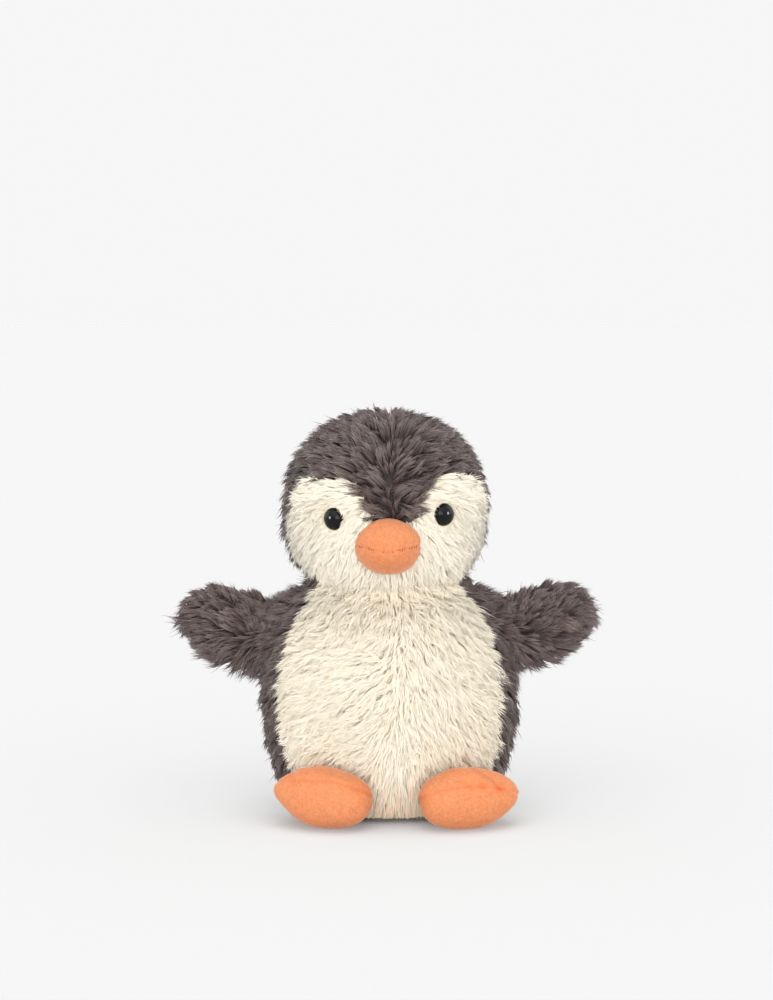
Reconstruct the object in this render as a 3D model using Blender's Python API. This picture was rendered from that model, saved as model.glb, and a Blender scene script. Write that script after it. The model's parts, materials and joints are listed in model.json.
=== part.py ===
"""A sitting plush penguin: fur and suede panels sewn over fibre fillings, with safety eyes.

Metres, +Z up. The penguin looks towards -Y, and left and right are its own, so its left
is at +X. It sits on Z = 0, and the origin is under the middle of its bounding box.
"""

import math

import bmesh
import bpy
from mathutils import Matrix, Vector

MM = 0.001

# Fabric and clearances
PILE_BACKING = 2.0 * MM  # knitted backing of the fur panels
SUEDE = 1.5 * MM  # beak and feet
GAP = 0.3 * MM  # between neighbouring pieces
FIBRE_GAP = 0.6 * MM  # between a panel and the filling behind it
WELD = 0.001 * MM  # points nearer than this are one

# Body: a pear with oval sections
BODY_Y = 13.0 * MM  # the body's axis stands behind the middle of the bounding box
BODY_HALF_WIDTH = 62.5 * MM
BODY_HALF_DEPTH = 54.0 * MM
BODY_WIDEST_Z = 54.0 * MM
BODY_DOWN = (66.7 * MM, 2.6)  # half height and fullness below the widest level
BODY_UP = (73.2 * MM, 2.3)  # the same above it
BASE_THICKNESS = 2.0 * MM
BODY_TOP_Z = 114.0 * MM
BODY_ROWS = 11
BELLY_EDGE = math.radians(60.0)  # the side seams, counted from the front
BELLY_TOP_EDGE = math.radians(70.0)  # the same at the neck
BELLY_FLARE_Z = 80.0 * MM  # from here up the belly panels widen
BELLY_COLUMNS = 6
BACK_COLUMNS = 9
POUCH_ROWS = 3  # rows of the body, from the bottom, that the pellet pouch fills

# Head: wider than deep, with full cheeks
HEAD_Z = 164.0 * MM
HEAD_HALF_WIDTH = 48.8 * MM
HEAD_HALF_DEPTH = 46.0 * MM
HEAD_DOWN = (45.0 * MM, 3.4)
HEAD_UP = (44.5 * MM, 2.1)
HEAD_BOTTOM_Z = 124.0 * MM
FACE_EDGE = math.radians(74.0)  # where the face meets the back of the head
FACE_COLUMNS = 8
CROWN_COLUMNS = 15
FACE_ROWS = 7
CROWN_ROWS = 10
HEAD_FILLING_ROWS = 10
HEAD_FILLING_SIDES = 24
PEAK_PITCH = math.radians(-8.0)  # lowest point of the crown, over the beak
BROW_PITCH = math.radians(23.5)  # highest part of the face
PEAK_TURN = math.radians(9.0)  # azimuths between which the seam climbs from the peak
BROW_TURN = math.radians(33.0)
TEMPLE_TURN = math.radians(55.0)  # from here it falls to the side of the neck
TEMPLE_FOOT = math.radians(6.0)  # how far above the neck it ends
HEAD_FIBRE_GAP = 2.6 * MM  # the head's rows differ between panels and filling

# Neck: turns on the body, and the head nods on it
NECK_Z = 119.0 * MM
NECK_RADIUS = 29.0 * MM
NECK_SLOPE = 0.21  # the filling's top falls away so that the head can nod
NECK_SIDES = 20

# Beak: two domed suede panels that meet on a level seam
BEAK_Z = 144.5 * MM
BEAK_HALF_WIDTH = 16.8 * MM
BEAK_HALF_HEIGHT = 14.8 * MM
BEAK_REACH = 21.0 * MM
BEAK_ROWS = 6
BEAK_COLUMNS = 9
THREAD_RADIUS = 0.4 * MM
THREAD_START = math.radians(14.0)  # above the beak's rim
THREAD_POINTS = 9  # from the rim to the tip

# Eyes: 12 mm safety eyes, sewn in a little unevenly
EYE_X = {"left": 28.8 * MM, "right": 27.9 * MM}
EYE_Z = {"left": 160.6 * MM, "right": 158.4 * MM}
EYE_RADIUS = 6.0 * MM
EYE_BULGE = 4.4 * MM
EYE_RIM_HEIGHT = 0.5 * MM
EYE_RIM_BEVEL = 0.4 * MM
SHANK_RADIUS = 1.75 * MM
SHANK_LENGTH = 9.0 * MM
SHANK_POINT = 1.0 * MM  # length of its tapered end
SHANK_TAPER = 0.6
WASHER_RADIUS = 6.25 * MM
WASHER_BORE = 2.1 * MM
WASHER_THICKNESS = 1.0 * MM
WASHER_DEPTH = 3.1 * MM  # below the skin
EYE_HOLE_RADIUS = 2.2 * MM
EYE_POCKET_RADIUS = 7.2 * MM
EYE_POCKET_DEPTH = 11.0 * MM
EYE_HOLE_DEPTH = 6.0 * MM
CUT_CLEARANCE = 4.0 * MM  # how far the cutters stand out of the face
EYE_SIDES = 20

# Wings: flat rounded flippers
WING_X = 60.5 * MM  # shoulder
WING_Z = 91.5 * MM
WING_LENGTH = 48.0 * MM
WING_HALF_WIDTH = 16.5 * MM
WING_HALF_THICKNESS = 7.0 * MM
WING_FULLNESS = 2.8
WING_ROOT_GAP = 3.8 * MM  # from the shoulder to the panels
WING_ROOT_RADIUS = 3.0 * MM
WING_LIFT = {"left": math.radians(16.5), "right": math.radians(12.5)}
WING_ROWS = 8
WING_COLUMNS = 7
WING_ROOT_ROWS = 8
WING_ROOT_SIDES = 14

# Feet: drop-shaped pods that point outwards
FOOT_X = {"left": 42.2 * MM, "right": 34.6 * MM}
FOOT_FORWARD = 62.0 * MM  # in front of the body's axis
FOOT_Z = 14.8 * MM
FOOT_HALF_LENGTH = 26.3 * MM
FOOT_HALF_DEPTH = 17.0 * MM
FOOT_HALF_HEIGHT = 16.6 * MM
FOOT_FULLNESS = 2.3
FOOT_TIP_FULLNESS = {"left": 1.7, "right": 1.5}  # the outer half is pointed
FOOT_TIP_RISE = {"left": 1.5 * MM, "right": 3.5 * MM}
FOOT_TILT = math.radians(33.0)  # the soles face a little forwards, so the seam is higher in front
FOOT_SPLAY = math.radians(18.0)
FOOT_ROWS = 10
FOOT_COLUMNS = 8
ANKLE_BACK = 15.5 * MM  # from the middle of the foot to the seam that it tips on
ANKLE_Z = 11.0 * MM

# Colours as red, green and blue from 0 to 255
GREY = (104, 92, 91)
CREAM = (241, 233, 212)
ORANGE = (247, 156, 104)
BLACK = (16, 15, 17)
FIBRE = (238, 238, 234)
THREAD = (120, 58, 34)
CLEAR_PLASTIC = (225, 225, 220)
CALICO = (226, 217, 199)

SIDES = {"left": 1.0, "right": -1.0}

SHARP = math.radians(40.0)  # edges sharper than this are shaded flat


def linear(level):
    """Linear value of a colour level from 0 to 255."""
    share = level / 255.0
    return share / 12.92 if share <= 0.04045 else ((share + 0.055) / 1.055) ** 2.4


def material(name, colour, roughness):
    found = bpy.data.materials.get(name)
    if found:
        return found
    made = bpy.data.materials.new(name)
    made.use_nodes = True
    shader = made.node_tree.nodes["Principled BSDF"]
    shader.inputs["Base Color"].default_value = (*map(linear, colour), 1.0)
    shader.inputs["Roughness"].default_value = roughness
    shader.inputs["Metallic"].default_value = 0.0
    return made


def fullness(share, power):
    """Radius of a superellipse at a share of its half height, as a share of its widest."""
    return max(0.0, 1.0 - abs(share) ** power) ** (1.0 / power)


def spaced(start, end, count):
    """Evenly spaced numbers, both ends included."""
    return [start + (end - start) * i / (count - 1) for i in range(count)]


def smooth_step(value, start, end):
    share = min(1.0, max(0.0, (value - start) / (end - start)))
    return share * share * (3.0 - 2.0 * share)


def round_turns(count):
    """Evenly spaced angles all round."""
    return [2.0 * math.pi * j / count for j in range(count)]


# Meshes


def finish(name, mesh, surface):
    """Object of a bmesh, with its normals outwards."""
    bmesh.ops.remove_doubles(mesh, verts=mesh.verts, dist=WELD)
    bmesh.ops.dissolve_degenerate(mesh, edges=mesh.edges, dist=WELD)
    bmesh.ops.recalc_face_normals(mesh, faces=mesh.faces)
    data = bpy.data.meshes.new(name)
    mesh.to_mesh(data)
    mesh.free()
    made = bpy.data.objects.new(name, data)
    bpy.context.scene.collection.objects.link(made)
    if surface:
        data.materials.append(surface)
    data.shade_smooth()
    data.set_sharp_from_angle(angle=SHARP)
    return made


def panel(name, outer, inner, surface, ring=False):
    """Closed solid between two grids of points. The columns of a ring meet."""
    mesh = bmesh.new()
    grids = [[[mesh.verts.new(p) for p in row] for row in grid] for grid in (outer, inner)]
    rows = len(outer)
    columns = len(outer[0])
    steps = [(j, (j + 1) % columns) for j in range(columns if ring else columns - 1)]
    for grid in grids:
        for i in range(rows - 1):
            for j, k in steps:
                mesh.faces.new((grid[i][j], grid[i][k], grid[i + 1][k], grid[i + 1][j]))
    front, back = grids
    for i in (0, rows - 1):
        for j, k in steps:
            mesh.faces.new((front[i][j], front[i][k], back[i][k], back[i][j]))
    if not ring:
        for j in (0, columns - 1):
            for i in range(rows - 1):
                mesh.faces.new((front[i][j], front[i + 1][j], back[i + 1][j], back[i][j]))
    return finish(name, mesh, surface)


def stack(name, rings, surface):
    """Closed solid through a stack of rings of points, closed by a flat face at each end."""
    mesh = bmesh.new()
    rows = [[mesh.verts.new(p) for p in ring] for ring in rings]
    count = len(rings[0])
    for low, high in zip(rows, rows[1:]):
        for j in range(count):
            k = (j + 1) % count
            mesh.faces.new((low[j], low[k], high[k], high[j]))
    for end in (rows[0], rows[-1]):
        mesh.faces.new(end)
    return finish(name, mesh, surface)


def turned(name, profile, surface, sides, place):
    """Solid turned about local Z from (radius, height) points, moved by the matrix place."""
    rings = []
    turns = round_turns(sides)
    for radius, height in profile:
        rings.append([place @ Vector((radius * math.cos(a), radius * math.sin(a), height)) for a in turns])
    return stack(name, rings, surface)


def place_of(empty):
    """World position of an empty, which only its parents move."""
    place = Vector()
    while empty:
        place += empty.location
        empty = empty.parent
    return place


def pivot(name, place, parent=None):
    """Empty on a joint's axis."""
    made = bpy.data.objects.new(name, None)
    made.empty_display_size = 10.0 * MM
    bpy.context.scene.collection.objects.link(made)
    made.parent = parent
    made.location = place - place_of(parent)
    return made


def hang(objects, parent):
    """Parents pieces whose points are in world space to an empty, without moving them."""
    for piece in objects:
        piece.data.transform(Matrix.Translation(-place_of(parent)))
        piece.parent = parent


def split(point, side):
    """Keeps a point of a left or a right piece clear of the seam in the middle."""
    return Vector((side * max(side * point.x, GAP / 2.0), point.y, point.z))


# Surfaces


def body_point(azimuth, z, inset=0.0):
    """Point of the body. Azimuth is 0 at the front and grows towards the penguin's left."""
    rise = z - BODY_WIDEST_Z
    half, power = BODY_UP if rise > 0.0 else BODY_DOWN
    r = fullness(rise / (half - inset), power)
    x = (BODY_HALF_WIDTH - inset) * r * math.sin(azimuth)
    y = BODY_Y - (BODY_HALF_DEPTH - inset) * r * math.cos(azimuth)
    return Vector((x, y, z))


def head_point(azimuth, pitch, inset=0.0):
    """Point of the head. Pitch is 0 at its widest level and a right angle at the top."""
    half, power = HEAD_UP if pitch > 0.0 else HEAD_DOWN
    rise = math.sin(pitch)
    r = fullness(rise, power)
    x = (HEAD_HALF_WIDTH - inset) * r * math.sin(azimuth)
    y = BODY_Y - (HEAD_HALF_DEPTH - inset) * r * math.cos(azimuth)
    return Vector((x, y, HEAD_Z + (half - inset) * rise))


def head_bottom_pitch(inset=0.0):
    return math.asin((HEAD_BOTTOM_Z - HEAD_Z) / (HEAD_DOWN[0] - inset))


def face_front(x, z):
    """Y of the front of the head, seen from the front at x and z."""
    rise = z - HEAD_Z
    half, power = HEAD_UP if rise > 0.0 else HEAD_DOWN
    r = fullness(rise / half, power)
    return BODY_Y - HEAD_HALF_DEPTH * math.sqrt(max(0.0, r * r - (x / HEAD_HALF_WIDTH) ** 2))


def face_normal(x, z):
    """Outward normal of the front of the head at x and z."""
    step = 0.1 * MM
    along_x = Vector((2.0 * step, face_front(x + step, z) - face_front(x - step, z), 0.0))
    along_z = Vector((0.0, face_front(x, z + step) - face_front(x, z - step), 2.0 * step))
    return along_x.cross(along_z).normalized()


def cap_pitch(azimuth):
    """Pitch of the seam between face and crown: a peak over the beak, brows, then the cheeks."""
    turn = abs(azimuth)
    rise = smooth_step(turn, PEAK_TURN, BROW_TURN)
    fall = smooth_step(turn, TEMPLE_TURN, FACE_EDGE)
    brow = PEAK_PITCH + (BROW_PITCH - PEAK_PITCH) * rise
    return brow + (head_bottom_pitch() + TEMPLE_FOOT - brow) * fall


def beak_point(turn, reach, inset=0.0, side=0.0):
    """Point of the beak's dome. Reach is 0 at its rim and a right angle at its tip."""
    wide = math.cos(reach)
    x = (BEAK_HALF_WIDTH - inset) * wide * math.cos(turn)
    z = BEAK_Z + (BEAK_HALF_HEIGHT - inset) * wide * math.sin(turn) + side * GAP / 2.0
    y = face_front(x, z) - FIBRE_GAP - (BEAK_REACH - inset) * math.sin(reach)
    return Vector((x, y, z))


def wing_point(side, along, turn, inset=0.0):
    """Point of a wing. Along runs from 0 at the shoulder to a half turn at the tip."""
    half = WING_LENGTH / 2.0
    share = -math.cos(along)
    r = fullness(share, WING_FULLNESS)
    u = half + (half - inset) * share
    v = (WING_HALF_WIDTH - inset) * r * math.cos(turn)
    y = BODY_Y - (WING_HALF_THICKNESS - inset) * r * math.sin(turn)
    lift = WING_LIFT[side]
    x = WING_X + u * math.cos(lift) - v * math.sin(lift)
    z = WING_Z + u * math.sin(lift) + v * math.cos(lift)
    return Vector((SIDES[side] * x, y, z))


def foot_point(side, along, turn, inset=0.0):
    """Point of a foot. Along is 0 at the inner end, turn is 0 at the back of its seam."""
    share = -math.cos(along)
    outward = (1.0 + share) / 2.0
    r = fullness(share, FOOT_TIP_FULLNESS[side] if share > 0.0 else FOOT_FULLNESS)
    u = (FOOT_HALF_LENGTH - inset) * share
    back = (FOOT_HALF_DEPTH - inset) * r * math.cos(turn - FOOT_TILT)
    rise = (FOOT_HALF_HEIGHT - inset) * r * math.sin(turn - FOOT_TILT)
    z = FOOT_Z + FOOT_TIP_RISE[side] * outward ** 2 + rise
    cos, sin = math.cos(FOOT_SPLAY), math.sin(FOOT_SPLAY)
    x = FOOT_X[side] + u * cos - back * sin
    y = BODY_Y - FOOT_FORWARD + u * sin + back * cos
    return Vector((SIDES[side] * x, y, max(z, inset)))


# Pieces


def body_rows():
    return spaced(BASE_THICKNESS + GAP, BODY_TOP_Z, BODY_ROWS)


def belly_edge(z):
    """Azimuth of the side seams."""
    return BELLY_EDGE + (BELLY_TOP_EDGE - BELLY_EDGE) * smooth_step(z, BELLY_FLARE_Z, BODY_TOP_Z)


def belly_azimuths(z):
    return spaced(0.0, belly_edge(z), BELLY_COLUMNS + 1)


def back_azimuths(z):
    return spaced(belly_edge(z), math.pi, BACK_COLUMNS + 1)


def body_ring(z, inset):
    """Section of the body, with the corners where the panels have theirs so that facets match."""
    half = belly_azimuths(z) + back_azimuths(z)[1:]
    return [body_point(a, z, inset) for a in half + [-a for a in reversed(half[1:-1])]]


def make_body_panel(name, side, azimuths_at, surface):
    """Panel of one side of the body between the azimuths at each level."""
    sign = SIDES[side]
    seam = GAP / 2.0 / BODY_HALF_WIDTH
    grids = []
    for inset in (0.0, PILE_BACKING):
        rows = []
        for z in body_rows():
            azimuths = azimuths_at(z)
            azimuths[0] += seam
            azimuths[-1] -= seam
            rows.append([split(body_point(sign * a, z, inset), sign) for a in azimuths])
        grids.append(rows)
    return panel(name, *grids, surface)


def make_body():
    grey = material("grey_pile", GREY, 0.9)
    cream = material("cream_pile", CREAM, 0.9)
    made = []
    for side in SIDES:
        made.append(make_body_panel(f"belly_panel_{side}", side, belly_azimuths, cream))
        made.append(make_body_panel(f"back_panel_{side}", side, back_azimuths, grey))
    rows = body_rows()
    inset = PILE_BACKING + FIBRE_GAP
    bottom = body_ring(BASE_THICKNESS, GAP)
    base = [[Vector((p.x, p.y, z)) for p in bottom] for z in (0.0, BASE_THICKNESS)]
    made.append(stack("base_panel", base, material("base_cloth", GREY, 0.9)))
    levels = [rows[0] + GAP] + rows[1 : POUCH_ROWS]
    levels[-1] -= GAP
    pouch = [body_ring(z, inset + GAP) for z in levels]
    made.append(stack("pellet_pouch", pouch, material("pouch_calico", CALICO, 0.8)))
    levels = [rows[POUCH_ROWS - 1] + GAP] + rows[POUCH_ROWS:]
    levels[-1] -= GAP
    filling = [body_ring(z, inset) for z in levels]
    made.append(stack("body_filling", filling, material("fibre_filling", FIBRE, 1.0)))
    return made


def make_head_panel(name, side, part, surface):
    """Face panel below the cap seam, or crown panel above it and round the back."""
    sign = SIDES[side]
    is_face = part == "face"
    azimuths = spaced(0.0, FACE_EDGE, FACE_COLUMNS + 1)
    if not is_face:
        corner = FACE_EDGE + 2.0 * GAP / HEAD_HALF_WIDTH
        azimuths += spaced(corner, math.pi, CROWN_COLUMNS - FACE_COLUMNS + 1)
    seam = GAP / 2.0 / HEAD_DOWN[0]
    grids = []
    for inset in (0.0, PILE_BACKING):
        bottom = head_bottom_pitch(inset)
        columns = []
        for a in azimuths:
            edge = cap_pitch(a) if a <= FACE_EDGE else bottom - seam
            if is_face:
                pitches = spaced(bottom, edge - seam, FACE_ROWS)
            else:
                pitches = spaced(edge + seam, math.pi / 2.0, CROWN_ROWS)
            columns.append([split(head_point(sign * a, p, inset), sign) for p in pitches])
        grids.append(columns)
    return panel(name, *grids, surface)


def make_head_filling():
    inset = PILE_BACKING + HEAD_FIBRE_GAP
    turns = round_turns(HEAD_FILLING_SIDES)
    pitches = spaced(head_bottom_pitch(inset), math.pi / 2.0, HEAD_FILLING_ROWS)
    rings = [[head_point(a, p, inset) for a in turns] for p in pitches]
    rings = rings[:-1] + [[rings[-1][0]] * len(turns)]
    return stack("head_filling", rings, material("fibre_filling", FIBRE, 1.0))


def eye_place(side):
    """Matrix of an eye: local Z points out of the face at the eye's centre."""
    x = SIDES[side] * EYE_X[side]
    z = EYE_Z[side]
    out = face_normal(x, z)
    centre = Vector((x, face_front(x, z), z))
    turn = out.to_track_quat("Z", "Y").to_matrix().to_4x4()
    return Matrix.Translation(centre) @ turn


def cut(piece, cutter):
    """Cuts a hole for an eye with a hidden cylinder."""
    cutter.hide_render = True
    cutter.display_type = "WIRE"
    hole = piece.modifiers.new("hole", "BOOLEAN")
    hole.operation = "DIFFERENCE"
    hole.solver = "EXACT"
    hole.object = cutter


def rod(name, radius, depth, place):
    """Cylinder from a depth inside the face to a little outside it."""
    return turned(name, [(radius, -depth), (radius, CUT_CLEARANCE)], None, EYE_SIDES, place)


def make_eyes(face_panels, filling):
    """Eyes and washers, with holes in the face and pockets in the filling."""
    glossy = material("black_gloss", BLACK, 0.08)
    clear = material("washer_plastic", CLEAR_PLASTIC, 0.4)
    made = []
    helpers = []
    for side in SIDES:
        place = eye_place(side)
        rise = spaced(0.0, math.pi / 2.0, 6)
        bulge = EYE_BULGE - EYE_RIM_HEIGHT
        dome = [(EYE_RADIUS * math.cos(a), GAP + EYE_RIM_HEIGHT + bulge * math.sin(a)) for a in rise]
        profile = [(SHANK_RADIUS * SHANK_TAPER, -SHANK_LENGTH), (SHANK_RADIUS, -SHANK_LENGTH + SHANK_POINT)]
        profile += [(SHANK_RADIUS, GAP), (EYE_RADIUS - EYE_RIM_BEVEL, GAP)] + dome
        made.append(turned(f"eye_{side}", profile, glossy, EYE_SIDES, place))
        made.append(make_washer(side, clear, place))
        hole = rod(f"eye_hole_{side}", EYE_HOLE_RADIUS, EYE_HOLE_DEPTH, place)
        pocket = rod(f"eye_pocket_{side}", EYE_POCKET_RADIUS, EYE_POCKET_DEPTH, place)
        cut(face_panels[side], hole)
        cut(filling, pocket)
        helpers += [hole, pocket]
    return made, helpers


def make_washer(side, surface, place):
    """Flat ring that locks the eye's shank behind the fabric."""
    low = -WASHER_DEPTH - WASHER_THICKNESS
    high = -WASHER_DEPTH
    grids = []
    for radius in (WASHER_RADIUS, WASHER_BORE):
        ring = [Vector((radius * math.cos(a), radius * math.sin(a), 0.0)) for a in round_turns(EYE_SIDES)]
        grids.append([[place @ (p + Vector((0.0, 0.0, z))) for p in ring] for z in (low, high)])
    return panel(f"eye_washer_{side}", *grids, surface, ring=True)


def make_beak():
    orange = material("orange_suede", ORANGE, 0.85)
    reaches = spaced(0.0, math.pi / 2.0, BEAK_ROWS)
    made = []
    for name, side in (("beak_upper", 1.0), ("beak_lower", -1.0)):
        turns = spaced(0.0, side * math.pi, BEAK_COLUMNS)
        grids = [[[beak_point(t, r, inset, side) for t in turns] for r in reaches] for inset in (0.0, SUEDE)]
        made.append(panel(name, *grids, orange))
    turns = round_turns(2 * BEAK_COLUMNS - 2)
    front = [[beak_point(t, r, SUEDE + FIBRE_GAP) for t in turns] for r in reaches]
    back = [[Vector((p.x, face_front(p.x, p.z) - FIBRE_GAP, p.z)) for p in row] for row in front]
    made.append(panel("beak_filling", front, back, material("fibre_filling", FIBRE, 1.0), ring=True))
    made.append(make_beak_thread())
    return made


def make_beak_thread():
    """Thread that lies along the seam across the beak."""
    proud = -(THREAD_RADIUS + GAP)
    spread = spaced(THREAD_START, math.pi / 2.0, THREAD_POINTS)
    half = [beak_point(0.0, r, proud) for r in spread]
    points = half + [Vector((-p.x, p.y, p.z)) for p in reversed(half[:-1])]
    curve = bpy.data.curves.new("beak_seam_thread", "CURVE")
    curve.dimensions = "3D"
    spline = curve.splines.new("POLY")
    spline.points.add(len(points) - 1)
    for target, point in zip(spline.points, points):
        target.co = (*point, 1.0)
    curve.bevel_depth = THREAD_RADIUS
    curve.bevel_resolution = 1
    curve.use_fill_caps = True
    curve.materials.append(material("brown_thread", THREAD, 0.7))
    made = bpy.data.objects.new("beak_seam_thread", curve)
    bpy.context.scene.collection.objects.link(made)
    return made


def make_neck():
    top = HEAD_BOTTOM_Z - 2.0 * GAP
    profile = [(0.0, BODY_TOP_Z + GAP), (NECK_RADIUS, BODY_TOP_Z + GAP)]
    profile += [(NECK_RADIUS, top - NECK_SLOPE * NECK_RADIUS), (0.0, top)]
    place = Matrix.Translation(Vector((0.0, BODY_Y, 0.0)))
    return turned("neck_filling", profile, material("fibre_filling", FIBRE, 1.0), NECK_SIDES, place)


def make_wing(side):
    """Front and back panels of a wing and its filling."""
    grey = material("grey_pile", GREY, 0.9)
    start = math.acos(1.0 - WING_ROOT_GAP / (WING_LENGTH / 2.0))
    rows = spaced(start, math.pi, WING_ROWS)
    made = []
    for name, face in (("front", 1.0), ("back", -1.0)):
        turns = spaced(0.0, face * math.pi, WING_COLUMNS)
        grids = []
        for inset in (0.0, PILE_BACKING):
            grid = [[wing_point(side, a, t, inset) for t in turns] for a in rows]
            grids.append([[p - Vector((0.0, face * GAP / 2.0, 0.0)) for p in row] for row in grid])
        made.append(panel(f"wing_{name}_panel_{side}", *grids, grey))
    turns = round_turns(2 * WING_COLUMNS - 2)
    rings = [[wing_point(side, a, t, PILE_BACKING + FIBRE_GAP) for t in turns] for a in rows]
    rings = rings[:-1] + [[rings[-1][0]] * len(turns)]
    made.append(stack(f"wing_filling_{side}", rings, material("fibre_filling", FIBRE, 1.0)))
    return made


def make_wing_root(side):
    """Gathered root that the wing bends at, a knot of fabric on the shoulder."""
    place = Matrix.Translation(Vector((SIDES[side] * WING_X, BODY_Y, WING_Z)))
    turns = spaced(0.0, math.pi, WING_ROOT_ROWS)
    profile = [(max(0.0, WING_ROOT_RADIUS * math.sin(a)), -WING_ROOT_RADIUS * math.cos(a)) for a in turns]
    return turned(f"wing_root_{side}", profile, material("grey_pile", GREY, 0.9), WING_ROOT_SIDES, place)


def make_foot(side):
    """Upper, sole and filling of a foot."""
    orange = material("orange_suede", ORANGE, 0.85)
    rows = spaced(0.0, math.pi, FOOT_ROWS)
    made = []
    for name, face in (("upper", 1.0), ("sole", -1.0)):
        turns = spaced(0.0, face * math.pi, FOOT_COLUMNS)
        grids = []
        for inset in (0.0, SUEDE):
            grid = [[foot_point(side, a, t, inset) for t in turns] for a in rows]
            grids.append([[p + Vector((0.0, 0.0, max(0.0, face) * GAP)) for p in row] for row in grid])
        made.append(panel(f"foot_{name}_{side}", *grids, orange))
    turns = round_turns(2 * FOOT_COLUMNS - 2)
    rings = [[foot_point(side, a, t, SUEDE + FIBRE_GAP) for t in turns] for a in rows]
    rings = [[rings[0][0]] * len(turns)] + rings[1:-1] + [[rings[-1][0]] * len(turns)]
    made.append(stack(f"foot_filling_{side}", rings, material("fibre_filling", FIBRE, 1.0)))
    return made


def ankle_place(side):
    """Point on the seam that a foot tips on."""
    x = FOOT_X[side] - ANKLE_BACK * math.sin(FOOT_SPLAY)
    y = BODY_Y - FOOT_FORWARD + ANKLE_BACK * math.cos(FOOT_SPLAY)
    return Vector((SIDES[side] * x, y, ANKLE_Z))


def main():
    for old in list(bpy.data.objects):
        bpy.data.objects.remove(old, do_unlink=True)
    body = pivot("body_axis", Vector((0.0, BODY_Y, 0.0)))
    neck = pivot("neck_axis", Vector((0.0, BODY_Y, NECK_Z)), body)
    head = pivot("head_axis", Vector((0.0, BODY_Y, NECK_Z)), neck)
    hang(make_body(), body)
    hang([make_neck()], neck)

    grey = material("grey_pile", GREY, 0.9)
    cream = material("cream_pile", CREAM, 0.9)
    faces = {side: make_head_panel(f"face_panel_{side}", side, "face", cream) for side in SIDES}
    crowns = [make_head_panel(f"crown_panel_{side}", side, "crown", grey) for side in SIDES]
    filling = make_head_filling()
    eyes, helpers = make_eyes(faces, filling)
    hang([*faces.values(), *crowns, filling, *eyes, *helpers, *make_beak()], head)

    for side, sign in SIDES.items():
        shoulder = pivot(f"shoulder_axis_{side}", Vector((sign * WING_X, BODY_Y, WING_Z)), body)
        wing = pivot(f"wing_axis_{side}", Vector((sign * WING_X, BODY_Y, WING_Z)), shoulder)
        ankle = pivot(f"ankle_axis_{side}", ankle_place(side), body)
        hang([make_wing_root(side)], shoulder)
        hang(make_wing(side), wing)
        hang(make_foot(side), ankle)


main()
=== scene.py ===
"""Looks of the sitting plush penguin: long-pile fur in locks, suede beak and feet, glossy eyes.

Everything is in metres in the frame's axes. The penguin looks towards -Y, and left and
right are its own, so its left is at +X.
"""

import json
import math

import bmesh
import bpy
import numpy as np
from mathutils import Matrix, Vector
from mathutils.kdtree import KDTree

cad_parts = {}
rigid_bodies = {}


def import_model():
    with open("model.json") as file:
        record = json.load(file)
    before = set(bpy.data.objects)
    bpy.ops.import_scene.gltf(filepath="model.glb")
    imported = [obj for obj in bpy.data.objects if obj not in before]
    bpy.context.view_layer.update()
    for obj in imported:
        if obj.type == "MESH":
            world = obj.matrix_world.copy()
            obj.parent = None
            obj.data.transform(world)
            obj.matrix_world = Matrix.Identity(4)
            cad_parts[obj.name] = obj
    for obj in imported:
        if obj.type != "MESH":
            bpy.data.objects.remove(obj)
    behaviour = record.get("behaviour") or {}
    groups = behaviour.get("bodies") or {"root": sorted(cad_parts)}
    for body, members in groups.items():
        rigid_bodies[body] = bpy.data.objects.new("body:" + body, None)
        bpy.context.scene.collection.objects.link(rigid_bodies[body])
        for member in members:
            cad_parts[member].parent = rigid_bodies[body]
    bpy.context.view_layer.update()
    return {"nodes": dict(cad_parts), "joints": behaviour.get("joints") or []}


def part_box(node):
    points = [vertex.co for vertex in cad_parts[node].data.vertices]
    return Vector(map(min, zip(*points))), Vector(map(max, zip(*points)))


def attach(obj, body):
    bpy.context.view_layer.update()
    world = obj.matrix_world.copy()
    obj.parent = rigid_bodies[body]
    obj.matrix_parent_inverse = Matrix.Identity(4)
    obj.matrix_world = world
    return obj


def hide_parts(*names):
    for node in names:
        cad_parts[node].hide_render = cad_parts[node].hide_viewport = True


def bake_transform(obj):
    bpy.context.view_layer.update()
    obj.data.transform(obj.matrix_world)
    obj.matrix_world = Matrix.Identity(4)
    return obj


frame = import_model()

MM = 0.001
SIDES = {"left": 1.0, "right": -1.0}
MOST_STRANDS = 12000  # in one piece of fur

# Shape of the stuffed covers. Their widths, depths and levels are read from the frame.
BODY_WIDEST = 54.0 * MM
BODY_DOWN = (66.7 * MM, 2.6)  # half height and fullness below the widest level
BODY_UP = (73.2 * MM, 2.3)
HEAD_WIDEST = 164.0 * MM
HEAD_DOWN = (45.0 * MM, 3.4)
HEAD_UP = (44.5 * MM, 2.1)
BELLY_EDGE = math.radians(60.0)
BELLY_TOP_EDGE = {"left": math.radians(66.0), "right": math.radians(61.0)}
BELLY_FLARE = (80.0 * MM, 114.0 * MM)
BELLY_CORNER = math.radians(8.0)  # how much narrower the belly is above the feet
FACE_EDGE = {"left": math.radians(97.0), "right": math.radians(86.0)}
PEAK_PITCH = math.radians(-8.0)
PEAK_TURN = math.radians(11.5)
BROW_TURN = math.radians(34.0)
PEAK_SHIFT = math.radians(3.0)
BROW_ARCH = math.radians(44.0)
TEMPLE_FALL = math.radians(20.0)  # how far before its edge the face starts to fall
WING_FULLNESS = 2.8
FOOT_MIDDLE = 14.8 * MM
FOOT_FULLNESS = 2.3
FOOT_TIP_FULLNESS = {"left": 1.7, "right": 1.5}
FOOT_TIP_RISE = {"left": 1.5 * MM, "right": 3.5 * MM}
FOOT_SPLAY = math.radians(18.0)
FOOT_TILT = math.radians(33.0)


# The frame's boxes and pivots


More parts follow.
